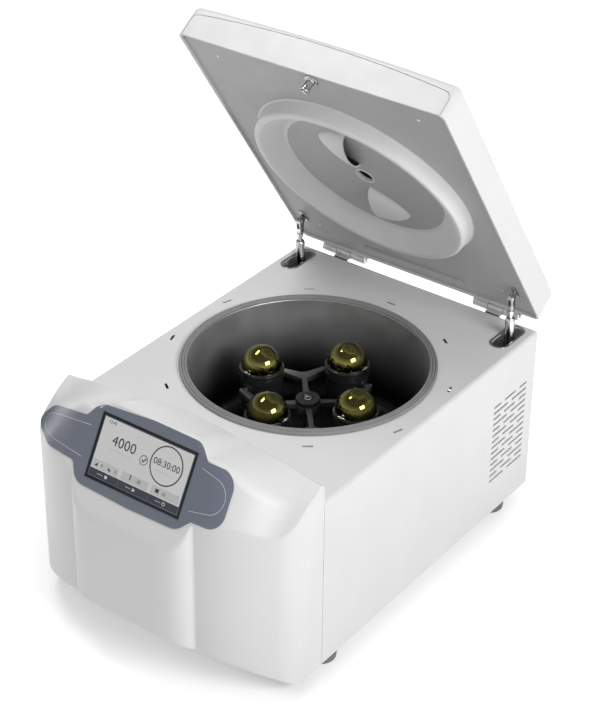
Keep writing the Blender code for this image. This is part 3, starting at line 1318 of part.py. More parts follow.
def cap(pivot, number):
    base = BUCKET_TOP + GAP
    rim = BUCKET_RADIUS - 0.0002
    bore = CAP_RADIUS - CAP_WALL
    spring, top = base + 0.009, base + CAP_HEIGHT
    steps = 5
    dome, inside = [], []
    for step in range(steps):
        angle = math.pi / 2 * step / steps
        dome.append((CAP_RADIUS * math.cos(angle), spring + (top - spring) * math.sin(angle)))
        inside.append((bore * math.cos(angle), spring + (top - CAP_WALL - spring) * math.sin(angle)))
    profile = [(bore, base), (rim, base), (rim, base + 0.0055), (CAP_RADIUS, base + 0.0065)] + dome
    profile += [(0, top), (0, top - CAP_WALL)] + list(reversed(inside))
    lugs = []
    for side in (-1, 1):
        low_y, high_y = span(side, 0.029, 0.0345)
        lugs.append(box((-0.005, low_y, base + 0.0006), (0.005, high_y, base + 0.012)))
    lugs = together(lugs)
    solid(f"bucket_cap_{number}", lathe(profile, SMALL_ROUND), GOLD, pivot, joins=lugs)


for index in range(4):
    angle = math.radians(90 * index)
    place = (BUCKET_ORBIT * math.cos(angle), BUCKET_ORBIT * math.sin(angle), PIN_HEIGHT)
    pivot = empty(f"bucket_axis_{index + 1}", place, ROTOR, (0.0, 0.0, angle))
    bucket(pivot, index + 1)
    cap(pivot, index + 1)
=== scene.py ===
# %% [markdown]
# # A benchtop centrifuge with its lid open
# The machine is a white sheet-metal housing with a moulded console in front, a deep round bowl
# with a swing-out rotor, and a lid that stands open on two gas struts.
# The CAD frame gives every solid its place and its body. This lesson dresses it: each piece that
# the eye meets is modelled finer and takes the place of its CAD solid, and the rest get a finish.

# %% Load the frame
import math

import bmesh
import bpy
from mathutils import Matrix, Vector
from mathutils.bvhtree import BVHTree


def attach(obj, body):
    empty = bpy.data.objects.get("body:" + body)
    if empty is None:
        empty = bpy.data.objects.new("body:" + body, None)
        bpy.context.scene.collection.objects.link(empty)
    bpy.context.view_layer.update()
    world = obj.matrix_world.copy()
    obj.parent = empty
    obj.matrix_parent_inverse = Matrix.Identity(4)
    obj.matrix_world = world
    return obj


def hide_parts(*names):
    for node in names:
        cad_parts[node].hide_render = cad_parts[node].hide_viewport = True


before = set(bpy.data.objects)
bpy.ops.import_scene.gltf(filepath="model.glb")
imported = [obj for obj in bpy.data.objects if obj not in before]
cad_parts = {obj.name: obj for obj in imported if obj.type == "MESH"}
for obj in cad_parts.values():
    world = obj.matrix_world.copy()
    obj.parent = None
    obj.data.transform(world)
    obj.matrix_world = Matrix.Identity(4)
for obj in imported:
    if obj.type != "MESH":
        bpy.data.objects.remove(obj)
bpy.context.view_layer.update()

# %% [markdown]
# ## Three drawing frames
# The bowl's axis is the natural origin of a centrifuge, so everything is drawn from it, with
# heights from the housing's underside. The lid is drawn closed, where its sizes are plain, and
# then turned open about its hinge. The display has a frame of its own, x to the right, y up the
# slope and z out of the glass, so its parts are flat drawings.

# %% Drawing frames
HINGE_Y, HINGE_Z = 0.284, 0.272
HOUSING = Matrix.Translation((0.0, 0.04565, 0.018))
TO_HINGE = Matrix.Translation((0.0, HINGE_Y, HINGE_Z))
LID = HOUSING @ TO_HINGE @ Matrix.Rotation(math.radians(-56.3), 4, "X") @ TO_HINGE.inverted()
DISPLAY_SLOPE = math.radians(60.4)
DISPLAY_TOP = (0.0, -0.3408, 0.335)
DISPLAY = HOUSING @ Matrix.Translation(DISPLAY_TOP) @ Matrix.Rotation(DISPLAY_SLOPE, 4, "X")
print("hinge at", [round(value, 4) for value in HOUSING @ Vector((0.0, HINGE_Y, HINGE_Z))])

# %% [markdown]
# ## Camera, floor and light
# The picture is taken from the right and from above, with a long lens, so edges stay almost
# parallel. A studio photo of a white machine on white needs a soft key light from the right and
# above, and a pale floor that burns out to white but still keeps the shadow under the chin.
# The floor glows a little for the camera alone, so no more light falls on the machine. Its glow
# is weakest near the machine, which paints a soft shade round it.

# %% Camera
LENS_MM, SENSOR_MM = 103.17, 36.0
EYE = (1.4346, -1.93145, 1.8415)
EYE_TURN, EYE_DOWN, EYE_ROLL = 36.21, 32.36, 0.59
camera_data = bpy.data.cameras.new("photo_camera")
camera_data.lens = LENS_MM
camera_data.sensor_width = SENSOR_MM
camera = bpy.data.objects.new("photo_camera", camera_data)
camera.matrix_world = (Matrix.Translation(EYE) @ Matrix.Rotation(math.radians(EYE_TURN), 4, "Z")
                       @ Matrix.Rotation(math.radians(90 - EYE_DOWN), 4, "X")
                       @ Matrix.Rotation(math.radians(EYE_ROLL), 4, "Z"))
bpy.context.scene.collection.objects.link(camera)
bpy.context.scene.camera = camera
bpy.context.scene.view_settings.view_transform = "Standard"
print("camera lens", camera_data.lens)


# %% World: an even studio, white to the camera
def add_node(tree, kind, **values):
    """Add a node and set its properties."""
    node = tree.nodes.new(kind)
    for name, value in values.items():
        setattr(node, name, value)
    return node


def math_node(tree, operation, first, second=None):
    node = add_node(tree, "ShaderNodeMath", operation=operation)
    for index, value in enumerate((first, second)):
        if isinstance(value, (int, float)):
            node.inputs[index].default_value = value
        elif value is not None:
            tree.links.new(value, node.inputs[index])
    return node.outputs[0]


def seen_directly(tree):
    """Two masks: rays from the camera or through glass, and rays off shiny surfaces."""
    path = add_node(tree, "ShaderNodeLightPath")
    either = math_node(tree, "MAXIMUM", path.outputs["Is Camera Ray"], path.outputs["Is Transmission Ray"])
    return either, path.outputs["Is Glossy Ray"]


def ramp(tree, value, low, high, first=0.0, last=1.0, kind="LINEAR"):
    """Turn a value that runs from low to high into one that runs from first to last."""
    node = add_node(tree, "ShaderNodeMapRange", clamp=True, interpolation_type=kind)
    for label, number in (("From Min", low), ("From Max", high), ("To Min", first), ("To Max", last)):
        node.inputs[label].default_value = number
    tree.links.new(value, node.inputs["Value"])
    return node.outputs[0]


STUDIO_LIGHT = 0.40
MIRROR_LOW, MIRROR_HIGH, MIRROR_CEILING = 0.05, 0.70, 0.14
WHITE = (1.0, 1.0, 1.0, 1.0)
world = bpy.data.worlds.new("studio")
world.use_nodes = True
bpy.context.scene.world = world
tree = world.node_tree
tree.nodes.clear()
direct, glossy = seen_directly(tree)
split = add_node(tree, "ShaderNodeSeparateXYZ")
tree.links.new(add_node(tree, "ShaderNodeTexCoord").outputs["Generated"], split.inputs[0])
room, mirrored, backdrop = [add_node(tree, "ShaderNodeBackground") for count in range(3)]
for each in (room, mirrored, backdrop):
    each.inputs["Color"].default_value = WHITE
room.inputs["Strength"].default_value = STUDIO_LIGHT
mirror_light = ramp(tree, split.outputs["Z"], MIRROR_LOW, MIRROR_HIGH, 1.0, MIRROR_CEILING)
tree.links.new(mirror_light, mirrored.inputs["Strength"])
lighting = add_node(tree, "ShaderNodeMixShader")
shown = add_node(tree, "ShaderNodeMixShader")
for mix, mask, first, second in ((lighting, glossy, room, mirrored), (shown, direct, lighting, backdrop)):
    tree.links.new(mask, mix.inputs[0])
    tree.links.new(first.outputs[0], mix.inputs[1])
    tree.links.new(second.outputs[0], mix.inputs[2])
out = add_node(tree, "ShaderNodeOutputWorld")
tree.links.new(shown.outputs[0], out.inputs["Surface"])
print("world strength", STUDIO_LIGHT)


# %% Floor that keeps the shadow
FLOOR_TONE = (0.86, 0.86, 0.86, 1.0)
# The glow is least near the machine: a painted shade round it, added to the lamps' shadow.
GLOW_START, GLOW_END, GLOW_LEAST = 0.30, 0.58, 0.33


def floor_finish():
    """Matt paper that also glows for the camera, least under the machine and fully at a distance: the weaker
    glow near the machine paints a soft shade round it.
    """
    made = bpy.data.materials.new("floor_paper")
    made.use_nodes = True
    tree = made.node_tree
    shader = tree.nodes["Principled BSDF"]
    shader.inputs["Base Color"].default_value = FLOOR_TONE
    shader.inputs["Roughness"].default_value = 1.0
    shader.inputs["Specular IOR Level"].default_value = 0.0
    shader.inputs["Emission Color"].default_value = WHITE
    direct, glossy = seen_directly(tree)
    shown = math_node(tree, "MAXIMUM", direct, glossy)
    place = add_node(tree, "ShaderNodeTexCoord").outputs["Object"]
    away = add_node(tree, "ShaderNodeVectorMath", operation="LENGTH")
    tree.links.new(place, away.inputs[0])
    glow = ramp(tree, away.outputs["Value"], GLOW_START, GLOW_END, GLOW_LEAST, 1.0, "SMOOTHSTEP")
    tree.links.new(math_node(tree, "MULTIPLY", shown, glow), shader.inputs["Emission Strength"])
    return made


shape = bmesh.new()
bmesh.ops.create_grid(shape, x_segments=2, y_segments=2, size=9.0)
floor_mesh = bpy.data.meshes.new("floor")
shape.to_mesh(floor_mesh)
shape.free()
floor_mesh.materials.append(floor_finish())
floor = bpy.data.objects.new("floor", floor_mesh)
bpy.context.scene.collection.objects.link(floor)
print("floor", floor.dimensions[:2])


# %% Lamps
LAMP_TARGET = Vector((0.0, 0.0, 0.3))


def area_lamp(name, place, size, watts):
    data = bpy.data.lights.new(name, "AREA")
    data.shape = "RECTANGLE"
    data.size, data.size_y = size
    data.energy = watts
    lamp = bpy.data.objects.new(name, data)
    lamp.location = place
    lamp.rotation_euler = (Vector(place) - LAMP_TARGET).to_track_quat("Z", "Y").to_euler()
    bpy.context.scene.collection.objects.link(lamp)


area_lamp("key_light", (2.62, -0.55, 1.9), (1.5, 1.0), 49.0)
area_lamp("top_light", (-1.1, 0.1, 2.5), (1.2, 0.5), 18.0)

# %% [markdown]
# ## Shared surface effects
# New painted metal and moulded plastic look even from afar, but up close the tone drifts a
# little and the surface has a fine texture. Both effects are wanted in every finish, so each is a
# node group: one mixes two tones and two degrees of gloss in soft patches, one gives the height
# of a fine grain, and one gives the fine rings that a lathe leaves round an axis.


# %% Node groups
def new_group(name, inputs, outputs):
    group = bpy.data.node_groups.new(name, "ShaderNodeTree")
    for label, kind, value in inputs:
        socket = group.interface.new_socket(name=label, in_out="INPUT", socket_type=kind)
        socket.default_value = value
    for label, kind in outputs:
        group.interface.new_socket(name=label, in_out="OUTPUT", socket_type=kind)
    start = add_node(group, "NodeGroupInput")
    end = add_node(group, "NodeGroupOutput")
    return group, start, end


def noise_at(group, vector, scale_socket, detail):
    noise = add_node(group, "ShaderNodeTexNoise")
    noise.inputs["Detail"].default_value = detail
    group.links.new(vector, noise.inputs["Vector"])
    group.links.new(scale_socket, noise.inputs["Scale"])
    return noise.outputs[0]


def surface_tone():
    group, start, end = new_group(
        "surface_tone",
        [("Tone", "NodeSocketColor", (0.8, 0.8, 0.8, 1.0)),
         ("Second Tone", "NodeSocketColor", (0.7, 0.7, 0.7, 1.0)),
         ("Patch Scale", "NodeSocketFloat", 12.0), ("Amount", "NodeSocketFloat", 0.5),
         ("Gloss Low", "NodeSocketFloat", 0.35), ("Gloss High", "NodeSocketFloat", 0.45)],
        [("Color", "NodeSocketColor"), ("Roughness", "NodeSocketFloat")])
    place = add_node(group, "ShaderNodeTexCoord").outputs["Object"]
    patches = ramp(group, noise_at(group, place, start.outputs["Patch Scale"], 3.0), 0.38, 0.66)
    mix = add_node(group, "ShaderNodeMix", data_type="RGBA")
    group.links.new(math_node(group, "MULTIPLY", patches, start.outputs["Amount"]), mix.inputs["Factor"])
    group.links.new(start.outputs["Tone"], mix.inputs["A"])
    group.links.new(start.outputs["Second Tone"], mix.inputs["B"])
    group.links.new(mix.outputs["Result"], end.inputs["Color"])
    finer = math_node(group, "MULTIPLY", start.outputs["Patch Scale"], 3.7)
    smudges = ramp(group, noise_at(group, place, finer, 4.0), 0.30, 0.70)
    step = math_node(group, "SUBTRACT", start.outputs["Gloss High"], start.outputs["Gloss Low"])
    rough = math_node(group, "MULTIPLY", smudges, step)
    group.links.new(math_node(group, "ADD", rough, start.outputs["Gloss Low"]), end.inputs["Roughness"])
    return group


def surface_grain():
    group, start, end = new_group("surface_grain", [("Grain Scale", "NodeSocketFloat", 900.0)],
                                  [("Height", "NodeSocketFloat")])
    place = add_node(group, "ShaderNodeTexCoord").outputs["Object"]
    group.links.new(noise_at(group, place, start.outputs["Grain Scale"], 2.0), end.inputs["Height"])
    return group


def turning_rings():
    group, start, end = new_group(
        "turning_rings",
        [("Centre", "NodeSocketVector", (0.0, 0.0, 0.0)), ("Rings per Metre", "NodeSocketFloat", 900.0)],
        [("Height", "NodeSocketFloat"), ("Distance", "NodeSocketFloat")])
    place = add_node(group, "ShaderNodeTexCoord").outputs["Object"]
    offset = add_node(group, "ShaderNodeVectorMath", operation="SUBTRACT")
    group.links.new(place, offset.inputs[0])
    group.links.new(start.outputs["Centre"], offset.inputs[1])
    flat = add_node(group, "ShaderNodeVectorMath", operation="MULTIPLY")
    flat.inputs[1].default_value = (1.0, 1.0, 0.0)
    group.links.new(offset.outputs[0], flat.inputs[0])
    length = add_node(group, "ShaderNodeVectorMath", operation="LENGTH")
    group.links.new(flat.outputs[0], length.inputs[0])
    noise = add_node(group, "ShaderNodeTexNoise", noise_dimensions="1D")
    noise.inputs["Scale"].default_value = 1.0
    noise.inputs["Detail"].default_value = 3.0
    along = math_node(group, "MULTIPLY", length.outputs["Value"], start.outputs["Rings per Metre"])
    group.links.new(along, noise.inputs["W"])
    group.links.new(noise.outputs[0], end.inputs["Height"])
    group.links.new(length.outputs["Value"], end.inputs["Distance"])
    return group


TONE, GRAIN, RINGS = surface_tone(), surface_grain(), turning_rings()
print("groups", [group.name for group in bpy.data.node_groups])


# %% One way to make a finish
def place_group(tree, group, **values):
    node = add_node(tree, "ShaderNodeGroup", node_tree=group)
    for name, value in values.items():
        node.inputs[name.replace("_", " ")].default_value = value
    return node


def finish(name, tone, second, gloss, patches=9.0, amount=0.6, grain=900.0, depth=0.00002, **shader_values):
    """A surface with drifting tone, patchy gloss and a fine grain."""
    made = bpy.data.materials.new(name)
    made.use_nodes = True
    tree = made.node_tree
    shader = tree.nodes["Principled BSDF"]
    for socket, value in shader_values.items():
        shader.inputs[socket.replace("_", " ")].default_value = value
    look = place_group(tree, TONE, Tone=(*tone, 1.0), Second_Tone=(*second, 1.0), Patch_Scale=patches,
                       Amount=amount, Gloss_Low=gloss[0], Gloss_High=gloss[1])
    tree.links.new(look.outputs["Color"], shader.inputs["Base Color"])
    tree.links.new(look.outputs["Roughness"], shader.inputs["Roughness"])
    height = place_group(tree, GRAIN, Grain_Scale=grain)
    bump = add_node(tree, "ShaderNodeBump")
    bump.inputs["Strength"].default_value = 0.6
    bump.inputs["Distance"].default_value = depth
    tree.links.new(height.outputs["Height"], bump.inputs["Height"])
    tree.links.new(bump.outputs["Normal"], shader.inputs["Normal"])
    return made


def ringed_finish(name, tone, second, gloss, centre, rings, depth, **shader_values):
    """A turned surface: the same drifting tone, with fine rings round an axis in place of grain."""
    made = finish(name, tone, second, gloss, **shader_values)
    tree = made.node_tree
    bump = next(node for node in tree.nodes if node.type == "BUMP")
    height = place_group(tree, RINGS, Centre=centre, Rings_per_Metre=rings)
    bump.inputs["Distance"].default_value = depth
    tree.links.new(height.outputs["Height"], bump.inputs["Height"])
    return made


def mix_into(made, **settings):
    """Put a colour mix between a finish's tone and its shader; hand back the tree and the mix."""
    tree = made.node_tree
    look = next(node for node in tree.nodes if node.type == "GROUP" and node.node_tree == TONE)
    mix = add_node(tree, "ShaderNodeMix", data_type="RGBA", **settings)
    tree.links.new(look.outputs["Color"], mix.inputs["A"])
    tree.links.new(mix.outputs["Result"], tree.nodes["Principled BSDF"].inputs["Base Color"])
    return tree, mix


def paint_dark_edge_reflection(made, edge, blend_value):
    """Paint a polished metal darker where it curves away from the eye: a painted reflection of a dark room,
    mixed into its colour.
    """
    tree, mix = mix_into(made)
    facing = add_node(tree, "ShaderNodeLayerWeight")
    facing.inputs["Blend"].default_value = blend_value
    tree.links.new(facing.outputs["Facing"], mix.inputs["Factor"])
    mix.inputs["B"].default_value = (*edge, 1.0)


def paint_shade_downwards(made, low, high, least):
    """Paint shade into a finish towards the bottom of a deep vessel: the lower, the darker."""
    tree, mix = mix_into(made, blend_type="MULTIPLY")
    mix.inputs["Factor"].default_value = 1.0
    split = add_node(tree, "ShaderNodeSeparateXYZ")
    tree.links.new(add_node(tree, "ShaderNodeTexCoord").outputs["Object"], split.inputs[0])
    fade = ramp(tree, split.outputs["Z"], low, high, least, 1.0, "SMOOTHSTEP")
    tree.links.new(fade, mix.inputs["B"])


def grey(value, warm=0.0):
    """A grey, or a slightly warm one."""
    return (value + warm, value, value - warm)


BOWL_CENTRE = tuple(HOUSING.translation)
WHITE_PAINT = finish("white_powder_coat", grey(0.80), grey(0.765), (0.36, 0.46), grain=1400.0, depth=0.00003)
WHITE_PLASTIC = finish("white_moulded_plastic", grey(0.80), grey(0.775), (0.34, 0.44), grain=2600.0)
LINER_PLASTIC = finish("grey_liner_plastic", grey(0.50), grey(0.47), (0.46, 0.56), grain=2200.0,
                       depth=0.00004)
# A paler copy of the liner plastic: painted light on the ring and scoops, and the port tube's finish.
LIT_LINER_PLASTIC = finish("liner_plastic_painted_light", grey(0.84), grey(0.80), (0.42, 0.52), grain=2200.0, depth=0.00003)
PANEL_FILM = finish("slate_panel_film", (0.165, 0.182, 0.232), (0.155, 0.170, 0.218), (0.34, 0.42),
                    grain=3200.0, depth=0.00002)
PALE_INK = finish("pale_printed_line", grey(0.72), grey(0.68), (0.35, 0.45))
BLACK_PLASTIC = finish("black_moulded_plastic", grey(0.018), grey(0.026), (0.28, 0.42), grain=2400.0,
                       depth=0.00003)
SCREEN_EDGE = finish("dark_screen_edge", (0.009, 0.011, 0.014), (0.012, 0.015, 0.019), (0.26, 0.34),
                     Specular_IOR_Level=0.22)
SCREEN_FACE = finish("screen_face", grey(0.74, 0.004), grey(0.70, 0.004), (0.12, 0.20), patches=25.0)
SCREEN_DARK = finish("screen_dark_ink", (0.030, 0.036, 0.055), (0.034, 0.041, 0.060), (0.12, 0.20))
SCREEN_GREY = finish("screen_grey_ink", grey(0.60), grey(0.56), (0.12, 0.20))
SCREEN_GREEN = finish("screen_green_ink", (0.06, 0.16, 0.11), (0.05, 0.14, 0.10), (0.12, 0.20))
SEAL_RUBBER = finish("grey_seal_rubber", grey(0.28), grey(0.23), (0.48, 0.62), patches=30.0, grain=1500.0,
                     depth=0.00005)
FOOT_RUBBER = finish("grey_foot_rubber", grey(0.20, 0.003), grey(0.15, 0.003), (0.60, 0.75), patches=40.0,
                     grain=1300.0, depth=0.00006)
BOWL_STEEL = ringed_finish("brushed_bowl_steel", grey(0.80), grey(0.70), (0.30, 0.42), BOWL_CENTRE, 1500.0,
                           0.00002, Metallic=0.8)
# Painted shade: the bowl's steel darkens towards its floor.
paint_shade_downwards(BOWL_STEEL, 0.15, 0.270, 0.02)
FRAME_STEEL = finish("zinc_plated_steel", grey(0.52), grey(0.42), (0.30, 0.48), patches=60.0, Metallic=1.0)
CHROME = finish("polished_chrome", grey(0.86), grey(0.80), (0.05, 0.11), depth=0.000005, Metallic=1.0)
# Painted dark reflection on the chrome's edges.
paint_dark_edge_reflection(CHROME, grey(0.02), 0.60)
HINGE_METAL = finish("satin_hinge_metal", grey(0.72), grey(0.66), (0.30, 0.40), Metallic=0.55)
OLIVE_GOLD = finish("olive_gold_mirror", (0.28, 0.255, 0.08), (0.22, 0.20, 0.06), (0.03, 0.07), patches=20.0,
                    depth=0.000004, Metallic=1.0)
# Painted dark reflection on the domes' edges.
paint_dark_edge_reflection(OLIVE_GOLD, (0.02, 0.018, 0.005), 0.55)
BUCKET_BLACK = finish("black_anodised_bucket", grey(0.028), grey(0.040), (0.20, 0.32), patches=35.0,
                      Metallic=0.45)
ROTOR_DARK = finish("dark_rotor_casting", grey(0.12), grey(0.09), (0.28, 0.42), patches=40.0, grain=1600.0,
                    depth=0.00004, Metallic=0.6)
BOARD_GREEN = finish("circuit_board", (0.03, 0.15, 0.07), (0.02, 0.10, 0.05), (0.35, 0.50), patches=80.0)
MOTOR_GREY = finish("motor_enamel", (0.28, 0.29, 0.30), (0.22, 0.23, 0.24), (0.40, 0.55), Metallic=0.4)
CAN_BLACK = finish("compressor_enamel", grey(0.02), grey(0.035), (0.30, 0.45), patches=20.0)
FIN_METAL = finish("aluminium_fins", grey(0.62), grey(0.50), (0.30, 0.45), patches=70.0, Metallic=1.0)
# A near-black finish for the scoop mouths and the port's bore and panes: painted shade in hollows.
CAVITY_SHADE_PAINT = finish("painted_cavity_shade", grey(0.012), grey(0.016), (0.70, 0.85))
print("finishes", len(bpy.data.materials))

# %% [markdown]
# ## Finishes for the CAD solids that stay
# The sheet-metal cover, its vents and slots, and everything inside the machine already have the
# right shape, so they keep their CAD mesh and only change their finish.

# %% Dress the CAD nodes
KEPT_NODES = {
    WHITE_PAINT: ["housing_cover", "rear_panel"],
    BLACK_PLASTIC: ["power_inlet", "switch_frame", "power_rocker", "latch_case", "fan_frame", "fan_wheel"],
    FRAME_STEEL: ["base_pan", "chamber_deck", "motor_plate", "guard_ring", "latch_bolt", "motor_shaft"],
    SEAL_RUBBER: ["motor_mount_1", "motor_mount_2", "motor_mount_3"],
    MOTOR_GREY: ["drive_motor"],
    CAN_BLACK: ["compressor"],
    FIN_METAL: ["condenser"],
    BOARD_GREEN: ["control_board"],
}
for look, names in KEPT_NODES.items():
    for name in names:
        for material_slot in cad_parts[name].material_slots:
            material_slot.material = look
print("dressed", sum(len(names) for names in KEPT_NODES.values()), "CAD nodes")

# %% [markdown]
# ## Workshop tools
# Most pieces of a centrifuge are turned, pressed or moulded, so a few shop tools cover them:
# a lathe that spins a section, a press that pushes a flat outline, a block with rounded edges,
# and a fillet for corners. One last tool names the piece, puts it in its frame, says which
# body carries it and hides the CAD solid it stands for. Pieces that rest on each other stand 0.3 mm
# apart, which is the seat's clearance below.


# %% Lathe, press and block
def of_kind(geometry, kind):
    return [item for item in geometry if isinstance(item, kind)]


def turn_on_lathe(section, segments=96):
    """Spin a chain of (radius, height) points about Z; a chain off the axis closes on itself."""
    shape = bmesh.new()
    points = [shape.verts.new((radius, 0.0, height)) for radius, height in section]
    edges = [shape.edges.new(pair) for pair in zip(points, points[1:])]
    if section[0][0] > 0.0 and section[-1][0] > 0.0:
        edges.append(shape.edges.new((points[-1], points[0])))
    bmesh.ops.spin(shape, geom=points + edges, cent=(0, 0, 0), axis=(0, 0, 1), dvec=(0, 0, 0),
                   angle=2 * math.pi, steps=segments, use_merge=True)
    bmesh.ops.remove_doubles(shape, verts=shape.verts, dist=1e-6)
    bmesh.ops.recalc_face_normals(shape, faces=shape.faces)
    return shape


def press(outline, bottom, top):
    """Push a flat outline in XY up from one height to another."""
    shape = bmesh.new()
    face = shape.faces.new([shape.verts.new((x, y, bottom)) for x, y in outline])
    pushed = bmesh.ops.extrude_face_region(shape, geom=[face])["geom"]
    upper = of_kind(pushed, bmesh.types.BMVert)
    bmesh.ops.translate(shape, vec=(0, 0, top - bottom), verts=upper)
    bmesh.ops.recalc_face_normals(shape, faces=shape.faces)
    return shape


def soften(shape, width, segments=3, sharper_than=0.5):
    """Round every edge that is sharper than an angle."""
    edges = [edge for edge in shape.edges if len(edge.link_faces) == 2
             and edge.calc_face_angle() > sharper_than]
    bmesh.ops.bevel(shape, geom=edges, offset=width, offset_type="OFFSET", segments=segments, profile=0.5,
                    affect="EDGES", material=-1)
    return shape


def everything(shape):
    return shape.verts[:] + shape.edges[:] + shape.faces[:]


def block(low, high, rounding=0.0, segments=3):
    shape = bmesh.new()
    bmesh.ops.create_cube(shape, size=1.0)
    low, high = Vector(low), Vector(high)
    bmesh.ops.scale(shape, vec=high - low, verts=shape.verts)
    bmesh.ops.translate(shape, vec=(low + high) / 2, verts=shape.verts)
    if rounding > 0.0:
        soften(shape, rounding, segments)
    return shape


def moved(shape, matrix):
    bmesh.ops.transform(shape, matrix=matrix, verts=shape.verts)
    return shape


def placed(shape, x, y, z):
    return moved(shape, Matrix.Translation((x, y, z)))


SIDEWAYS = Matrix(((0, 0, 1, 0), (1, 0, 0, 0), (0, 1, 0, 0), (0, 0, 0, 1)))


def press_across(outline, left, right):
    """Push an outline of (y, z) points sideways from one x to another."""
    return moved(press(outline, left, right), SIDEWAYS)


def bar_between(radius, start, end, segments=32, chamfer=0.0):
    start, end = Vector(start), Vector(end)
    length = (end - start).length
    section = [(0, 0), (radius - chamfer, 0), (radius, chamfer), (radius, length - chamfer),
               (radius - chamfer, length), (0, length)]
    if chamfer == 0.0:
        section = [(0, 0), (radius, 0), (radius, length), (0, length)]
    turn = (end - start).to_track_quat("Z", "Y").to_matrix().to_4x4()
    return moved(turn_on_lathe(section, segments), Matrix.Translation(start) @ turn)


def together(*shapes):
    """Several shapes in one mesh; the faces of each keep the finish that they were painted with."""
    joined = bmesh.new()
    for shape in shapes:
        held = bpy.data.meshes.new("held")
        shape.to_mesh(held)
        shape.free()
        joined.from_mesh(held)
        bpy.data.meshes.remove(held)
    return joined


def painted(shape, index):
    """Give all faces of a shape one of its piece's finishes, by number."""
    for face in shape.faces:
        face.material_index = index
    return shape


trial = soften(press([(0, 0), (0.02, 0), (0.02, 0.01), (0, 0.01)], 0.0, 0.005), 0.001)
print("a softened plate has", len(trial.faces), "faces")
trial.free()


# %% Fillets and carving
def fillet(here, before, after, radius, steps):
    """The arc that rounds one corner, given the directions to its neighbours."""
    if radius <= 0.0:
        return [here]
    half = before.angle(after) / 2
    reach = min(radius / math.tan(half), 0.49 * before.length, 0.49 * after.length)
    radius = reach * math.tan(half)
    start, end = here + before.normalized() * reach, here + after.normalized() * reach
    centre = here + (before.normalized() + after.normalized()).normalized() * (radius / math.sin(half))
    first = start - centre
    swing = first.angle_signed(end - centre)
    arc = []
    for step in range(steps + 1):
        angle = -swing * step / steps
        arc.append(centre + Vector((first.x * math.cos(angle) - first.y * math.sin(angle),
                                    first.x * math.sin(angle) + first.y * math.cos(angle))))
    return arc


def rounded_outline(corners, steps):
    """A closed outline from (x, y, radius) corners."""
    outline = []
    for index, (x, y, radius) in enumerate(corners):
        here = Vector((x, y))
        before = Vector(corners[index - 1][:2]) - here
        after = Vector(corners[(index + 1) % len(corners)][:2]) - here
        outline += fillet(here, before, after, radius, steps)
    return [(point.x, point.y) for point in outline]


def rounded_rectangle(left, low, right, high, radius, steps):
    corners = ((left, low), (right, low), (right, high), (left, high))
    return rounded_outline([(*corner, radius) for corner in corners], steps)


def rounded_chain(corners, steps):
    """An open chain of points through (x, y, radius) corners."""
    chain = []
    for index, (x, y, radius) in enumerate(corners):
        here = Vector((x, y))
        if index in (0, len(corners) - 1):
            chain.append(here)
            continue
        before = Vector(corners[index - 1][:2]) - here
        after = Vector(corners[index + 1][:2]) - here
        count = steps if isinstance(steps, int) else steps[index - 1]
        chain += fillet(here, before, after, radius, count)
    return [(point.x, point.y) for point in chain]


def turned(corners, steps, sides):
    """A turned part from a section with rounded corners."""
    return turn_on_lathe(rounded_chain(corners, steps), sides)


def baked(holder):
    """An object's shape, with its modifier, text or curve worked out, as a bmesh."""
    seen = holder.evaluated_get(bpy.context.evaluated_depsgraph_get())
    shape = bmesh.new()
    shape.from_mesh(seen.to_mesh())
    seen.to_mesh_clear()
    return shape


def carve(shape, tool, operation="DIFFERENCE"):
    """Cut one shape with another and hand back the result."""
    objects = []
    for each in (shape, tool):
        mesh = bpy.data.meshes.new("workpiece")
        each.to_mesh(mesh)
        each.free()
        objects.append(bpy.data.objects.new("workpiece", mesh))
        bpy.context.scene.collection.objects.link(objects[-1])
    step = objects[0].modifiers.new("carve", "BOOLEAN")
    step.operation, step.solver, step.object = operation, "EXACT", objects[1]
    result = baked(objects[0])
    for each in objects:
        mesh = each.data
        bpy.data.objects.remove(each, do_unlink=True)
        bpy.data.meshes.remove(mesh)
    return result


print("a rounded square has", len(rounded_rectangle(0, 0, 1, 1, 0.1, 8)), "points")


# %% Name a piece and hand it to its body
SIDES = ((-1, "left"), (1, "right"))
SEAT = 0.0003


def make_piece(name, shape, finishes, body, place=HOUSING, stands_for=(), sharp=32):
    """Put a drawn shape in its place, give it its finishes, and say what carries it."""
    moved(shape, place)
    mesh = bpy.data.meshes.new(name)
    shape.to_mesh(mesh)
    shape.free()
    for each in finishes if isinstance(finishes, list) else [finishes]:
        mesh.materials.append(each)
    mesh.shade_smooth()
    mesh.set_sharp_from_angle(angle=math.radians(sharp))
    piece = bpy.data.objects.new(name, mesh)
    bpy.context.scene.collection.objects.link(piece)
    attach(piece, body)
    if stands_for:
        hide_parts(*stands_for)
    print(name, len(mesh.polygons), "faces")
    return piece


# %% [markdown]
# ## Feet
# Four squat rubber feet carry the machine. Each is a turned plug, a little wider towards the
# top, with a rounded tread edge and a shallow groove where it meets the tray.

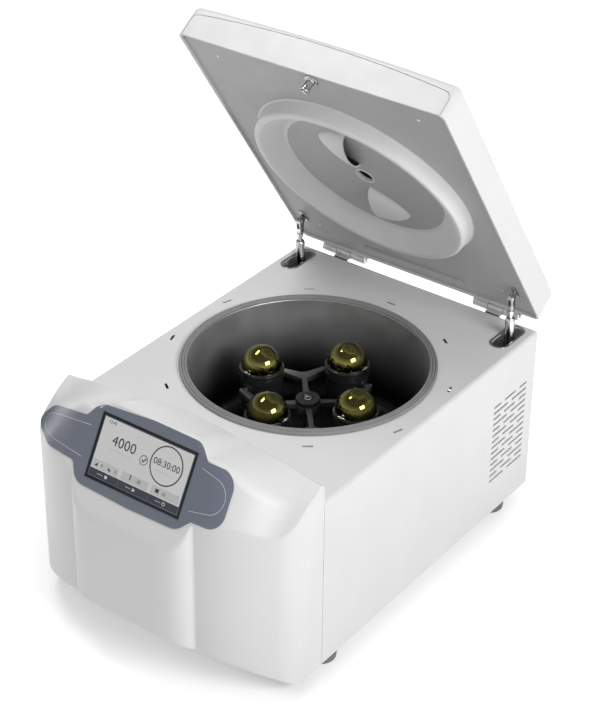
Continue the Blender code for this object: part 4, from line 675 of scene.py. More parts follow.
# %% Feet
FOOT_HEIGHT, FOOT_RADIUS = 0.018, 0.0225
FOOT_X, FOOT_FRONT, FOOT_REAR = 0.1905, -0.225, 0.205
FOOT_CORNERS = [(0, -FOOT_HEIGHT, 0), (FOOT_RADIUS - 0.0014, -FOOT_HEIGHT, 0.002),
                (FOOT_RADIUS, -0.0050, 0.0008), (FOOT_RADIUS - 0.0012, -0.0044, 0.0003),
                (FOOT_RADIUS - 0.0012, -0.0003, 0.0005), (0, -0.0003, 0)]
for side, word in SIDES:
    for y, end in ((FOOT_FRONT, "front"), (FOOT_REAR, "rear")):
        foot = placed(turned(FOOT_CORNERS, 4, 64), side * FOOT_X, y, 0.0)
        make_piece(f"rubber_foot_{end}_{word}", foot, FOOT_RUBBER, "base",
                   stands_for=[f"foot_{end}_{word}"])

# %% [markdown]
# ## Bowl and gasket
# The bowl is a deep-drawn steel pan with a boss in the middle for the motor shaft. It is a body
# of revolution, so one section spun round the axis is the true way to make it.
# The grey rubber gasket lies on its flange. Its three soft ridges press against the lid's ring.

# %% Bowl
BOWL_RADIUS, BOWL_WALL, BOWL_FLOOR = 0.172, 0.0015, 0.110
FLANGE_BOTTOM, FLANGE_TOP = 0.2673, 0.2688
BOSS_RADIUS, BOSS_TOP = 0.013, 0.134
inside = rounded_chain([(BOWL_RADIUS + 0.010, FLANGE_TOP, 0), (BOWL_RADIUS, FLANGE_TOP, 0.0012),
                        (BOWL_RADIUS, BOWL_FLOOR, 0.024), (0.060, BOWL_FLOOR + 0.002, 0.030),
                        (0.032, BOWL_FLOOR + 0.014, 0.012), (BOSS_RADIUS, BOSS_TOP, 0)], 10)
outside = [(BOSS_RADIUS, BOSS_TOP - 0.0025), (0.034, BOWL_FLOOR + 0.0095), (0.060, BOWL_FLOOR - 0.0005),
           (BOWL_RADIUS - 0.022, BOWL_FLOOR - 0.0018), (BOWL_RADIUS - 0.006, BOWL_FLOOR + 0.004),
           (BOWL_RADIUS + BOWL_WALL, BOWL_FLOOR + 0.021), (BOWL_RADIUS + BOWL_WALL, FLANGE_BOTTOM),
           (BOWL_RADIUS + 0.010, FLANGE_BOTTOM)]
make_piece("steel_bowl", turn_on_lathe(inside + outside, 160), BOWL_STEEL, "base",
           stands_for=["bowl"])

# %% Gasket
GASKET_RADIUS, GASKET_TOP, RIDGE_HEIGHT = 0.183, 0.2727, 0.0014
RIDGES = ((0.1716, 0.1751, 0.0), (0.1753, 0.1788, 0.0), (0.1790, 0.1826, 0.0006))
gasket_section = [(BOWL_RADIUS - 0.0005, FLANGE_TOP + SEAT)]
for start, end, drop in RIDGES:
    middle, half = (start + end) / 2, (end - start) / 2
    for step in range(9):
        angle = math.pi * (1 - step / 8)
        gasket_section.append((middle + half * math.cos(angle),
                               GASKET_TOP - drop + RIDGE_HEIGHT * (math.sin(angle) - 1)))
gasket_section += rounded_chain([(GASKET_RADIUS, GASKET_TOP - 0.0022, 0), (GASKET_RADIUS + 0.0002, 0.2676, 0),
                                 (GASKET_RADIUS + 0.0002, FLANGE_BOTTOM, 0)], 2)
gasket_section += [(0.1823, FLANGE_BOTTOM), (0.1823, FLANGE_TOP + SEAT)]
make_piece("ridged_gasket", turn_on_lathe(gasket_section, 180), SEAL_RUBBER, "base",
           stands_for=["bowl_gasket"], sharp=50)

# %% [markdown]
# ## Console
# The whole front is one moulded shell. Its side profile changes from the middle to the corners:
# a tall hump with the sloping display, lower wings beside it, and round ends that meet the
# housing. So the shell is a loft: profiles stand at many places across the machine, close
# together where the middle bulge meets the wings, and each is bridged to the next. One half is
# drawn and mirrored. A Solidify modifier then gives the moulding its wall.

# %% Console profiles
HALF_WIDTH, CORNER_ROUND, BULGE_HALF = 0.215, 0.014, 0.0995
WING_FRONT, BULGE_DEPTH, WING_SWEEP = 0.3845, 0.0245, 4.4
CHIN_REAR, CHIN_SLOPE = 0.3105, 0.70
REAR_Y = -0.2573
END_RADIUS, CONSOLE_WALL = 0.042, 0.0025
ROUND_START = HALF_WIDTH - CORNER_ROUND
CREST_TURN = BULGE_HALF - 0.0015


def ease(value, start, end):
    share = min(max((value - start) / (end - start), 0.0), 1.0)
    return share * share * (3 - 2 * share)


def on_display(down):
    return Vector((DISPLAY_TOP[1] - down * math.cos(DISPLAY_SLOPE),
                   DISPLAY_TOP[2] - down * math.sin(DISPLAY_SLOPE)))


def sharp_front(out):
    """How far the front stands forward of the bowl's axis: bulge, swept wing, round end."""
    if out < BULGE_HALF:
        return WING_FRONT + BULGE_DEPTH * (1 - (out / BULGE_HALF) ** 6) ** 0.58
    if out < ROUND_START:
        return WING_FRONT - WING_SWEEP * (out - BULGE_HALF) ** 2
    centre = HALF_WIDTH - END_RADIUS
    start = WING_FRONT - WING_SWEEP * (ROUND_START - BULGE_HALF) ** 2
    first = math.sqrt(END_RADIUS ** 2 - (ROUND_START - centre) ** 2)
    return start - first + math.sqrt(max(END_RADIUS ** 2 - (out - centre) ** 2, 0.0))


def front_depth(out):
    """The front line, with the crease beside the bulge rounded over a few millimetres."""
    if out > ROUND_START - 0.003:
        return sharp_front(out)
    spots = [abs(out + 0.0022 * step / 6) for step in range(-6, 7)]
    return sum(sharp_front(spot) for spot in spots) / len(spots)


def blend(first, second, share):
    return first + (second - first) * share


END_SLOPE, FULL_WING, CREST_PROUD = 0.62, 0.0819, Vector((-0.002, 0.003))
HUMP_TOP, HUMP_FALL, HEM_HEIGHT = 0.320, 0.084, 0.240
WING_TOP, WING_DROP, DROP_START = 0.264, 0.0115, 0.15
CREST_ABOVE, CREST_FALL, CREST_EASE = 0.018, 0.020, 0.036


def console_profile(x):
    """The outer profile at x as a chain of (y, z) points, rear wall to chin."""
    out = abs(x)
    depth = front_depth(out)
    aside = ease(out, BULGE_HALF, ROUND_START)
    rear = Vector((REAR_Y, HUMP_TOP - HUMP_FALL * out))
    normal = Vector((-math.sin(DISPLAY_SLOPE), math.cos(DISPLAY_SLOPE)))
    on_plane = (normal.dot(on_display(0.0)) + normal.x * depth) / normal.y
    level = WING_TOP - WING_DROP * ease(out, DROP_START, ROUND_START)
    if out > ROUND_START:
        level = rear.y - END_SLOPE * (depth + REAR_Y)
    turn = Vector((-depth, blend(on_plane, level, ease(out, BULGE_HALF, BULGE_HALF + 0.025))))
    crest = on_display(-CREST_ABOVE + CREST_FALL * ease(out, CREST_TURN - CREST_EASE, CREST_TURN))
    proud = CREST_PROUD * min((depth + REAR_Y) / FULL_WING, 1.0)
    crest = crest.lerp(rear.lerp(turn, 0.5) + proud, aside)
    turn_round = 0.008 + 0.030 * ease(out, BULGE_HALF + 0.004, BULGE_HALF - 0.006)
    chin = max(CHIN_SLOPE * (depth - CHIN_REAR), 0.001)
    corners = [[REAR_Y, HEM_HEIGHT, 0.0], [*rear, 0.006], [*crest, blend(0.006, 0.050, aside)],
               [*turn, turn_round], [-depth, chin, min(0.008, 0.5 * chin)],
               [-min(CHIN_REAR, depth - 0.0015), 0.0, 0.0]]
    return rounded_chain(corners, (5, 10, 16, 8))


def console_stations():
    over_bulge = [BULGE_HALF * (1 - (1 - step / 24) ** 2.0) for step in range(25)]
    wing = ROUND_START - BULGE_HALF
    along_wing = [BULGE_HALF + wing * (step / 24) ** 1.5 for step in range(1, 25)]
    centre = HALF_WIDTH - END_RADIUS
    first = math.asin((ROUND_START - centre) / END_RADIUS)
    turns = [blend(first, math.pi / 2, step / 14) for step in range(1, 15)]
    round_end = [centre + END_RADIUS * math.sin(turn) for turn in turns]
    return over_bulge + along_wing + round_end


print("console stations", len(console_stations()))


# %% Console shell
def console_half():
    shape = bmesh.new()
    last = None
    for x in console_stations():
        points = [shape.verts.new((x, y, z)) for y, z in console_profile(x)]
        chain = [shape.edges.new(pair) for pair in zip(points, points[1:])]
        if last:
            bmesh.ops.bridge_loops(shape, edges=last + chain)
        last = chain
    heel = shape.verts.new((HALF_WIDTH, REAR_Y, 0.0))
    closing = [shape.edges.new((points[-1], heel)), shape.edges.new((heel, points[0]))]
    bmesh.ops.contextual_create(shape, geom=last + closing)
    return shape


shape = console_half()
bmesh.ops.mirror(shape, geom=everything(shape), matrix=Matrix.Identity(4), merge_dist=1e-5, axis="X")
bmesh.ops.remove_doubles(shape, verts=shape.verts, dist=1e-6)
bmesh.ops.recalc_face_normals(shape, faces=shape.faces)
front_face = min(shape.faces, key=lambda face: face.calc_center_median().y)
if front_face.normal.y > 0:
    bmesh.ops.reverse_faces(shape, faces=shape.faces)
console_skin = BVHTree.FromBMesh(shape)
console = make_piece("console_shell", shape, WHITE_PLASTIC, "base",
                     stands_for=["front_fascia"], sharp=50)
edges = bmesh.new()
edges.from_mesh(console.data)
for edge in edges.edges:
    if edge.is_boundary:
        edge.smooth = False
edges.to_mesh(console.data)
edges.free()
wall = console.modifiers.new("wall", "SOLIDIFY")
wall.thickness, wall.offset, wall.thickness_clamp = CONSOLE_WALL, -1.0, 1.0

# %% [markdown]
# ## Control panel
# A slate-coloured film covers the display's surround and runs out in a lobe on each side. It
# starts as a pressed outline with rounded corners. The lobes reach over the shell's curved
# shoulders, so the sheet is cut into small fields and laid on the shell along the line of sight,
# which keeps its outline as it was drawn. Thin pale lines follow the lobes, in a plain layout.

# %% Panel film
PANEL_LOW, PANEL_TOP = 0.0003, 0.0010
PANEL_CORNERS = [(-0.087, -0.008, 0.032), (0.000, -0.0150, 0.300), (0.078, -0.0140, 0.020),
                 (0.096, 0.006, 0.006), (0.145, 0.006, 0.0385), (0.144, 0.084, 0.0385),
                 (0.098, 0.086, 0.006), (0.080, 0.104, 0.024), (0.000, 0.1055, 0.300),
                 (-0.092, 0.102, 0.024), (-0.104, 0.077, 0.008), (-0.150, 0.073, 0.020),
                 (-0.184, 0.048, 0.024), (-0.162, 0.020, 0.018), (-0.103, 0.014, 0.008)]
FIELD, LINE_RADIUS = 0.0035, 0.00032
EDGE_ON, PULL_IN, MOST_PULLS = 0.16, 0.994, 40
SIGHT = camera.matrix_world.translation - DISPLAY.translation
TOWARDS_EYE = (HOUSING.inverted().to_3x3() @ SIGHT).normalized()


def lay_on_console(shape):
    """Bend a flat drawing onto the shell along the line of sight, short of where it turns away."""
    to_housing = HOUSING.inverted() @ DISPLAY
    for vert in shape.verts:
        for pull in range(MOST_PULLS):
            start = to_housing @ Vector((vert.co.x * PULL_IN ** pull, vert.co.y, 0.0))
            place, normal = console_skin.ray_cast(start + TOWARDS_EYE * 0.2, -TOWARDS_EYE)[:2]
            if place is not None and normal.dot(TOWARDS_EYE) > EDGE_ON:
                break
        vert.co = place + normal * vert.co.z
    return shape


def slice_up(shape, step):
    """Cut a flat sheet into small fields so that it can bend."""
    for axis, normal in ((0, (1, 0, 0)), (1, (0, 1, 0))):
        values = [vert.co[axis] for vert in shape.verts]
        count = int((max(values) - min(values)) / step)
        for index in range(1, count + 1):
            place = [0.0, 0.0, 0.0]
            place[axis] = min(values) + (max(values) - min(values)) * index / (count + 1)
            bmesh.ops.bisect_plane(shape, geom=everything(shape), dist=1e-7, plane_co=place, plane_no=normal)
    return shape


panel_outline = rounded_outline([(x, -down, radius) for x, down, radius in PANEL_CORNERS], 14)
panel = lay_on_console(slice_up(press(panel_outline, PANEL_LOW, PANEL_TOP), FIELD))
make_piece("panel_film", panel, PANEL_FILM, "base", stands_for=["control_panel"])


# %% Thin lines on the film
def thread(points, radius):
    """A thin round line through flat (x, y) points, for a printed line."""
    curve = bpy.data.curves.new("thread", "CURVE")
    curve.dimensions = "3D"
    curve.bevel_depth = radius
    curve.bevel_resolution = 2
    curve.use_fill_caps = True
    spline = curve.splines.new("POLY")
    spline.points.add(len(points) - 1)
    for point, place in zip(spline.points, points):
        point.co = (*place, 0.0, 1.0)
    holder = bpy.data.objects.new("thread", curve)
    bpy.context.scene.collection.objects.link(holder)
    shape = baked(holder)
    bpy.data.objects.remove(holder, do_unlink=True)
    bpy.data.curves.remove(curve)
    bmesh.ops.recalc_face_normals(shape, faces=shape.faces)
    return shape


def arc_points(x, y, radius, start, end, steps=32):
    angles = [math.radians(start + (end - start) * step / steps) for step in range(steps + 1)]
    return [(x + radius * math.cos(angle), y + radius * math.sin(angle)) for angle in angles]


right_line = [(0.090, -0.016)] + arc_points(0.113, -0.045, 0.024, 78, -78) + [(0.090, -0.074)]
left_line = [(-0.092, -0.024), (-0.146, -0.029)] + arc_points(-0.155, -0.044, 0.0135, 80, 235, 18)
left_line += [(-0.146, -0.062), (-0.092, -0.068)]
lines = together(*[thread(line, LINE_RADIUS) for line in (right_line, left_line)])
lines = slice_up(placed(lines, 0, 0, PANEL_TOP), FIELD)
make_piece("panel_lines", lay_on_console(lines), PALE_INK, "base")

# %% [markdown]
# ## Display
# The display is a dark frame with a pale liquid-crystal face behind thin glass. What it shows is
# plain: a large number, a round timer with digits, a strip of small signs and three dark key
# cells. Each is a thin raised shape a few hundredths of a millimetre above the face, so nothing
# flickers and the shapes stay crisp from any side.

# %% Frame and face
SCREEN_WIDTH, SCREEN_HEIGHT, SCREEN_BORDER = 0.158, 0.090, 0.0046
half = SCREEN_WIDTH / 2
shape = press(rounded_rectangle(-half, -SCREEN_HEIGHT, half, 0.0, 0.0015, 5), PANEL_LOW, 0.0017)
top = max(shape.faces, key=lambda face: face.calc_center_median().z)
bmesh.ops.inset_region(shape, faces=[top], thickness=SCREEN_BORDER)
bmesh.ops.translate(shape, vec=(0, 0, -0.0008), verts=top.verts)
make_piece("display_frame", soften(shape, 0.0002, 2, 1.0), SCREEN_EDGE, "base",
           place=DISPLAY, stands_for=["display_bezel"])
inner = half - SCREEN_BORDER - 0.0004
face_low, face_high = -SCREEN_HEIGHT + SCREEN_BORDER + 0.0004, -SCREEN_BORDER - 0.0004
FACE_TOP = 0.0013
make_piece("display_face", block((-inner, face_low, 0.0008), (inner, face_high, FACE_TOP), 0.0001, 1),
           SCREEN_FACE, "base", place=DISPLAY, stands_for=["display_glass"])


# %% Plain digits
def digits(text, height, x, y, lift=0.00006, spacing=1.0):
    """Numbers as thin raised shapes, centred on a point of the display."""
    curve = bpy.data.curves.new("digits", "FONT")
    curve.body = text
    curve.size = height / 0.70
    curve.extrude = lift
    curve.space_character = spacing
    curve.align_x, curve.align_y = "CENTER", "CENTER"
    holder = bpy.data.objects.new("digits", curve)
    bpy.context.scene.collection.objects.link(holder)
    shape = baked(holder)
    bpy.data.objects.remove(holder, do_unlink=True)
    bpy.data.curves.remove(curve)
    return placed(shape, x, y, FACE_TOP + lift)


def spot(across_face, down_face):
    """A point of the face from millimetres right of and below its top left corner."""
    return -half + across_face / 1000, -down_face / 1000


def flat_bar(left, upper, right, lower, height=0.00012):
    (x0, y1), (x1, y0) = spot(left, upper), spot(right, lower)
    return block((x0, y0, FACE_TOP - 0.0001), (x1, y1, FACE_TOP + height))


def small_sign(points, height=0.00018):
    return press([spot(*point) for point in points], FACE_TOP - 0.0001, FACE_TOP + height)


def ring_sign(across_face, down_face, outer, width, height=0.00018):
    x, y = spot(across_face, down_face)
    low, high = FACE_TOP - 0.0001, FACE_TOP + height
    section = [(outer - width, low), (outer, low), (outer, high), (outer - width, high)]
    return placed(turn_on_lathe(section, 72), x, y, 0.0)


TIMER = (117.5, 33.0)
marks = together(
    ring_sign(*TIMER, 0.0262, 0.0016),
    digits("08:30:00", 0.0088, *spot(117.5, 32.0)),
    digits("4000", 0.0135, *spot(46, 31), spacing=1.05), digits("12:45", 0.0042, *spot(19, 9.5)),
    small_sign([(10, 71), (15, 71), (15, 66)]), small_sign([(33, 66), (38, 71), (33, 71)]),
    flat_bar(69, 63, 70.6, 70), flat_bar(112, 65, 118, 70),
    digits("9", 0.0042, *spot(22, 68.5)), digits("9", 0.0042, *spot(45, 68.5)),
    digits("-20", 0.0046, *spot(83, 67.5)), digits("01", 0.0042, *spot(127, 68.5)))
make_piece("display_marks", marks, SCREEN_DARK, "base", place=DISPLAY)
strips = together(flat_bar(7, 62.2, 50, 73.5, 0.00005), flat_bar(55, 62.2, 100, 73.5, 0.00005),
                  flat_bar(105, 62.2, 151, 73.5, 0.00005), ring_sign(*TIMER, 0.0246, 0.0005),
                  flat_bar(26, 42.5, 62, 43.3), flat_bar(103, 42.5, 132, 43.3))
make_piece("display_strips", strips, SCREEN_GREY, "base", place=DISPLAY)

# %% Key cells and the round sign
KEY_EDGES = ((4.9, 53.5), (53.8, 103.5), (103.8, 153.1))
cells = together(*[flat_bar(left, 75.0, right, 85.0) for left, right in KEY_EDGES])
make_piece("display_key_cells", cells, SCREEN_DARK, "base", place=DISPLAY)
raised = 0.00024
signs = together(small_sign([(31, 78), (35, 78), (35, 82), (31, 82)], raised),
                 small_sign([(78, 77.4), (83, 80), (78, 82.6)], raised),
                 ring_sign(130, 80, 0.0026, 0.0008, raised),
                 flat_bar(18, 79.6, 28, 80.2, raised), flat_bar(66, 79.6, 75, 80.2, raised),
                 flat_bar(116, 79.6, 125, 80.2, raised))
make_piece("display_key_signs", signs, PALE_INK, "base", place=DISPLAY)
tick = [(78.0, 38.6), (79.3, 37.3), (81.0, 39.0), (84.6, 34.8), (86.0, 36.1), (81.1, 41.8)]
badge = together(ring_sign(81.6, 38.2, 0.0066, 0.0010), small_sign(tick))
make_piece("display_badge", badge, SCREEN_GREEN, "base", place=DISPLAY)

# %% [markdown]
# ## Lid shell
# The lid is a deep crowned cover with a rim all round, moulded in one piece. The top starts as a
# grid that is lifted in the middle. Its edge is pulled down to make the sides, the sharp edges
# are rounded, and then the edge of the opening is turned in and up again, which gives the thin rim
# and the inner wall as the real moulding has them. A separate trim piece fills a shallow recess in
# the front, so a fine dark joint shows. Both are cut from the same form, which makes them meet.

# %% Lid sizes
LID_HALF, LID_RIM, LID_SIDE, LID_CROWN = 0.2135, 0.2703, 0.050, 0.005
LID_REAR, LID_FRONT = 0.2719, -0.2541
LID_WALL, LID_ROUND, LID_CEILING = 0.0028, 0.0105, 0.012
TRIM_HALF, TRIM_SHOULDER, TRIM_ROUND, TRIM_TOP, TRIM_CROWN = 0.2075, 0.0348, 0.012, 0.0464, 0.269
LID_MIDDLE = (LID_REAR + LID_FRONT) / 2
LID_DEPTH = LID_REAR - LID_FRONT


def shrink_about_middle(shape, verts, inset):
    """Move a loop inwards by the same distance on all four sides."""
    x_share = (LID_HALF - inset) / LID_HALF
    y_share = (LID_DEPTH / 2 - inset) / (LID_DEPTH / 2)
    around = Matrix.Translation((0, -LID_MIDDLE, 0))
    bmesh.ops.scale(shape, vec=(x_share, y_share, 1.0), space=around, verts=verts)


def pull_edge(shape, rim):
    pulled = bmesh.ops.extrude_edge_only(shape, edges=rim)["geom"]
    return of_kind(pulled, bmesh.types.BMVert), of_kind(pulled, bmesh.types.BMEdge)


# %% Lid body
def lid_body():
    shape = bmesh.new()
    bmesh.ops.create_grid(shape, x_segments=20, y_segments=2, size=0.5)
    bmesh.ops.scale(shape, vec=(2 * LID_HALF, LID_DEPTH, 1.0), verts=shape.verts)
    bmesh.ops.translate(shape, vec=(0, LID_MIDDLE, LID_RIM + LID_SIDE), verts=shape.verts)
    for vert in shape.verts:
        vert.co.z += LID_CROWN * (1 - (vert.co.x / LID_HALF) ** 2)
    verts, rim = pull_edge(shape, [edge for edge in shape.edges if edge.is_boundary])
    for vert in verts:
        vert.co.z = LID_RIM
    bmesh.ops.recalc_face_normals(shape, faces=shape.faces)
    soften(shape, LID_ROUND, 8, 0.6)
    verts, rim = pull_edge(shape, [edge for edge in shape.edges if edge.is_boundary])
    shrink_about_middle(shape, verts, LID_WALL)
    verts, rim = pull_edge(shape, rim)
    bmesh.ops.translate(shape, vec=(0, 0, LID_SIDE - LID_CEILING), verts=verts)
    bmesh.ops.contextual_create(shape, geom=rim)
    bmesh.ops.recalc_face_normals(shape, faces=shape.faces)
    return shape


def trim_outline(inset):
    """The front trim's outline: straight at the rim, rounded corners, crowned along the top."""
    half_width, low, shoulder = TRIM_HALF - inset, -0.0010 + inset, TRIM_SHOULDER - inset
    corners = [(-half_width, low, 0.0), (half_width, low, 0.0), (half_width, shoulder, TRIM_ROUND)]
    for step in range(17):
        x = 0.186 * (1 - step / 8)
        corners.append((x, TRIM_TOP - inset - TRIM_CROWN * x * x, 0.0))
    return rounded_outline(corners + [(-half_width, shoulder, TRIM_ROUND)], 10)


def trim_block(inset, depth):
    stand = Matrix(((1, 0, 0, 0), (0, 0, -1, LID_FRONT + depth), (0, 1, 0, LID_RIM), (0, 0, 0, 1)))
    return moved(press(trim_outline(inset), 0.0, depth + 0.006), stand)


shell = carve(lid_body(), trim_block(0.0, 0.0020))
notches = []
for side in (-1, 1):
    ends = sorted((side * 0.0965, side * 0.1775))
    notches.append(bar_between(0.0093, (ends[0], HINGE_Y, HINGE_Z), (ends[1], HINGE_Y, HINGE_Z), 40))
shell = carve(shell, together(*notches))
make_piece("lid_cover", shell, WHITE_PLASTIC, "lid", place=LID, stands_for=["lid_shell"])
trim = carve(lid_body(), trim_block(0.0011, 0.0017), "INTERSECT")
make_piece("lid_front_panel", trim, WHITE_PLASTIC, "lid", place=LID,
           stands_for=["lid_front_trim"])

# %% [markdown]
# ## Lid liner
# The liner is a vacuum-formed grey sheet that closes the lid. A ring drops into the bowl's
# mouth, two scoops let the air swirl past the viewing port, and a long shallow bar stiffens the
# rear edge. Ring and scoops are moulded in the same grey, but they take a paler copy of it as
# painted light, and the floors of the scoops' mouths are painted near-black as shade. The flat
# sheet is an outline with a round hole, filled between the two, and the ring is spun. Each scoop is
# half a spun cone, cut by the plane of the dish it stands on.

# %% Sheet and ring
LINER_BOTTOM, LINER_TOP, DISH_FLOOR = 0.2739, 0.2759, 0.2753
RING_OUTER, RING_CREST, RING_INNER = 0.1695, 0.162, 0.128
PORT_RADIUS = 0.016


def liner_sheet():
    edge = LID_WALL + SEAT
    x, front, rear = LID_HALF - edge, LID_FRONT + edge, LID_REAR - edge
    outline = rounded_rectangle(-x, front, x, rear, 0.008, 6)
    shape = bmesh.new()
    points = [shape.verts.new((*point, LINER_BOTTOM)) for point in outline]
    edges = [shape.edges.new((points[index - 1], points[index])) for index in range(len(points))]
    hole = bmesh.ops.create_circle(shape, cap_ends=False, segments=144, radius=RING_OUTER + 0.003,
                                   matrix=Matrix.Translation((0, 0, LINER_BOTTOM)))["verts"]
    edges += list({edge for vert in hole for edge in vert.link_edges})
    bmesh.ops.triangle_fill(shape, edges=edges, use_beauty=True, use_dissolve=False)
    pushed = bmesh.ops.extrude_face_region(shape, geom=shape.faces[:])["geom"]
    upper = of_kind(pushed, bmesh.types.BMVert)
    bmesh.ops.translate(shape, vec=(0, 0, LINER_TOP - LINER_BOTTOM), verts=upper)
    bmesh.ops.recalc_face_normals(shape, faces=shape.faces)
    return shape


RING_DROP = 0.019
crest = LID_RIM - RING_DROP
face_side = rounded_chain([
    (RING_OUTER + 0.0036, LINER_BOTTOM, 0), (RING_OUTER + 0.0005, LINER_BOTTOM, 0.0028),
    (RING_CREST + 0.0040, crest, 0.0050), (RING_CREST - 0.0050, crest + 0.0008, 0.0050),
    (RING_INNER + 0.002, DISH_FLOOR, 0.012), (PORT_RADIUS + SEAT, DISH_FLOOR, 0)], 9)
back = [(PORT_RADIUS + SEAT, DISH_FLOOR + 0.002), (RING_INNER + 0.003, DISH_FLOOR + 0.002),
        (RING_CREST - 0.005, crest + 0.0042), (RING_CREST + 0.002, crest + 0.0035),
        (RING_OUTER - 0.002, LINER_TOP), (RING_OUTER + 0.0036, LINER_TOP)]
# The ring takes the paler copy of the liner grey as painted light; the dish inside it keeps the liner grey.
ring = painted(turn_on_lathe(face_side + back, 144), 1)
for part in ring.faces:
    if part.calc_center_median().to_2d().length < RING_INNER - 0.004:
        part.material_index = 0


# %% Scoops and the rear bar
def scoop(turn):
    """A half cone with rounded flanks: a lipped mouth along a radius, a tip that runs out flat."""
    section = [(1.0, 0.0), (0.995, 0.04), (0.95, 0.18), (0.85, 0.38), (0.68, 0.60), (0.44, 0.80),
               (0.20, 0.93), (0.0, 1.0)]
    shape = bmesh.new()
    points = [shape.verts.new((radius, 0.0, height)) for radius, height in section]
    edges = [shape.edges.new(pair) for pair in zip(points, points[1:])]
    bmesh.ops.spin(shape, geom=points + edges, cent=(0, 0, 0), axis=(0, 0, 1), dvec=(0, 0, 0),
                   angle=2 * math.pi, steps=56, use_merge=True)
    bmesh.ops.remove_doubles(shape, verts=shape.verts, dist=1e-6)
    border = [edge for edge in shape.edges if edge.is_boundary]
    mouth = bmesh.ops.contextual_create(shape, geom=border)["faces"]
    bmesh.ops.recalc_face_normals(shape, faces=shape.faces)
    bmesh.ops.inset_region(shape, faces=mouth, thickness=0.10)
    deep = bmesh.ops.extrude_face_region(shape, geom=mouth)["geom"]
    floor_faces = of_kind(deep, bmesh.types.BMFace)
    bmesh.ops.delete(shape, geom=mouth, context="FACES_ONLY")
    verts = of_kind(deep, bmesh.types.BMVert)
    bmesh.ops.translate(shape, vec=(0, 0, 0.42), verts=verts)
    bmesh.ops.scale(shape, vec=(0.72, 0.72, 1.0), verts=verts)
    # The scoop takes the paler painted-light grey; its mouth's floor and the faces round it take the
    # near-black finish, as painted shade in the hollow.
    for each in shape.faces:
        each.material_index = 1
    for each in floor_faces:
        each.material_index = 2
        for edge in each.edges:
            for neighbour in edge.link_faces:
                neighbour.material_index = 2
    lay = Matrix.Rotation(-math.pi / 2, 4, "Y")
    size = Matrix.Diagonal((0.0160, 0.0375, 0.054, 1.0))
    moved(shape, Matrix.Translation((0.003, -0.067, DISH_FLOOR)) @ lay @ size)
    for vert in shape.verts:
        vert.co.y += 0.19 * (vert.co.x - 0.003)
    cut = bmesh.ops.bisect_plane(shape, geom=everything(shape), dist=1e-6, clear_outer=True,
                                 plane_co=(0, 0, DISH_FLOOR + 0.001), plane_no=(0, 0, 1))
    bmesh.ops.triangle_fill(shape, edges=of_kind(cut["geom_cut"], bmesh.types.BMEdge), use_beauty=True)
    bmesh.ops.recalc_face_normals(shape, faces=shape.faces)
    return moved(shape, Matrix.Rotation(turn, 4, "Z"))


bar_rear, bar_front = LID_REAR - 0.023, LID_REAR - 0.036
stiffener = press([(-0.086, bar_front), (0.086, bar_front), (0.092, bar_rear), (-0.092, bar_rear)],
                  LINER_BOTTOM - 0.0028, LINER_BOTTOM + 0.001)
liner = together(liner_sheet(), ring, scoop(0.0), scoop(math.pi), soften(stiffener, 0.0022, 5, 0.6))
make_piece("liner_moulding", liner, [LINER_PLASTIC, LIT_LINER_PLASTIC, CAVITY_SHADE_PAINT], "lid",
           place=LID, stands_for=["lid_liner"], sharp=40)

# %% [markdown]
# ## Viewing port, striker and liner screws
# A strobe or a look at the rotor needs a small window in the middle of the lid: a pale tube with
# a glass deep inside. The tube takes the liner ring's paler finish, which is painted light, and its
# bore, the inner pane and a pane on top take a near-black finish, painted shade for the dark inside
# of the port. The chrome striker post drops into the latch when the lid shuts. Four small domed
# screws hold the liner.

# %% Port
PORT_TOP = LID_RIM + LID_SIDE + LID_CROWN
PANE_RADIUS = 0.0127


# A near-black disc across the tube: painted shade for the dark inside of the port.
def pane(low, high):
    return painted(turn_on_lathe([(0, low), (PANE_RADIUS, low), (PANE_RADIUS, high), (0, high)], 64), 1)


tube = turned([
    (0.0125, DISH_FLOOR + 0.030, 0), (0.0130, DISH_FLOOR + 0.0045, 0), (0.0135, DISH_FLOOR - 0.0008, 0.0008),
    (PORT_RADIUS - SEAT, DISH_FLOOR - 0.0008, 0.0008), (PORT_RADIUS - SEAT, PORT_TOP + 0.0002, 0),
    (PORT_RADIUS + 0.003, PORT_TOP + 0.0002, 0.0), (PORT_RADIUS + 0.002, PORT_TOP + 0.0016, 0.0006),
    (0.0125, PORT_TOP + 0.0016, 0)], 4, 64)
# Above its lowest 4 mm the bore is painted near-black, as shade inside the tube.
for part in tube.faces:
    centre = part.calc_center_median()
    if centre.to_2d().length < 0.0131 and DISH_FLOOR + 0.004 < centre.z < PORT_TOP:
        part.material_index = 1
port = together(tube, pane(DISH_FLOOR + 0.030, DISH_FLOOR + 0.033),
                pane(PORT_TOP + 0.0004, PORT_TOP + 0.0013))
make_piece("port_tube", port, [LIT_LINER_PLASTIC, CAVITY_SHADE_PAINT], "lid", place=LID,
           stands_for=["viewing_port"])

# %% Striker
LATCH_Y, STRIKER_LOW = -0.2326, LID_RIM - 0.0148
striker_top = LINER_BOTTOM - SEAT
post = turned([
    (0, STRIKER_LOW + 0.012, 0), (0.0044, STRIKER_LOW + 0.012, 0.0), (0.0048, STRIKER_LOW, 0.0006),
    (0.0068, STRIKER_LOW, 0.0006), (0.0066, STRIKER_LOW + 0.0022, 0.0006),
    (0.0054, STRIKER_LOW + 0.0034, 0.0010), (0.0054, striker_top - 0.0018, 0.0012),
    (0.0104, striker_top - 0.0016, 0.0006), (0.0104, striker_top, 0), (0, striker_top, 0)], 4, 56)
make_piece("striker_post", placed(post, 0.0, LATCH_Y, 0.0), CHROME, "lid", place=LID,
           stands_for=["lid_striker"])


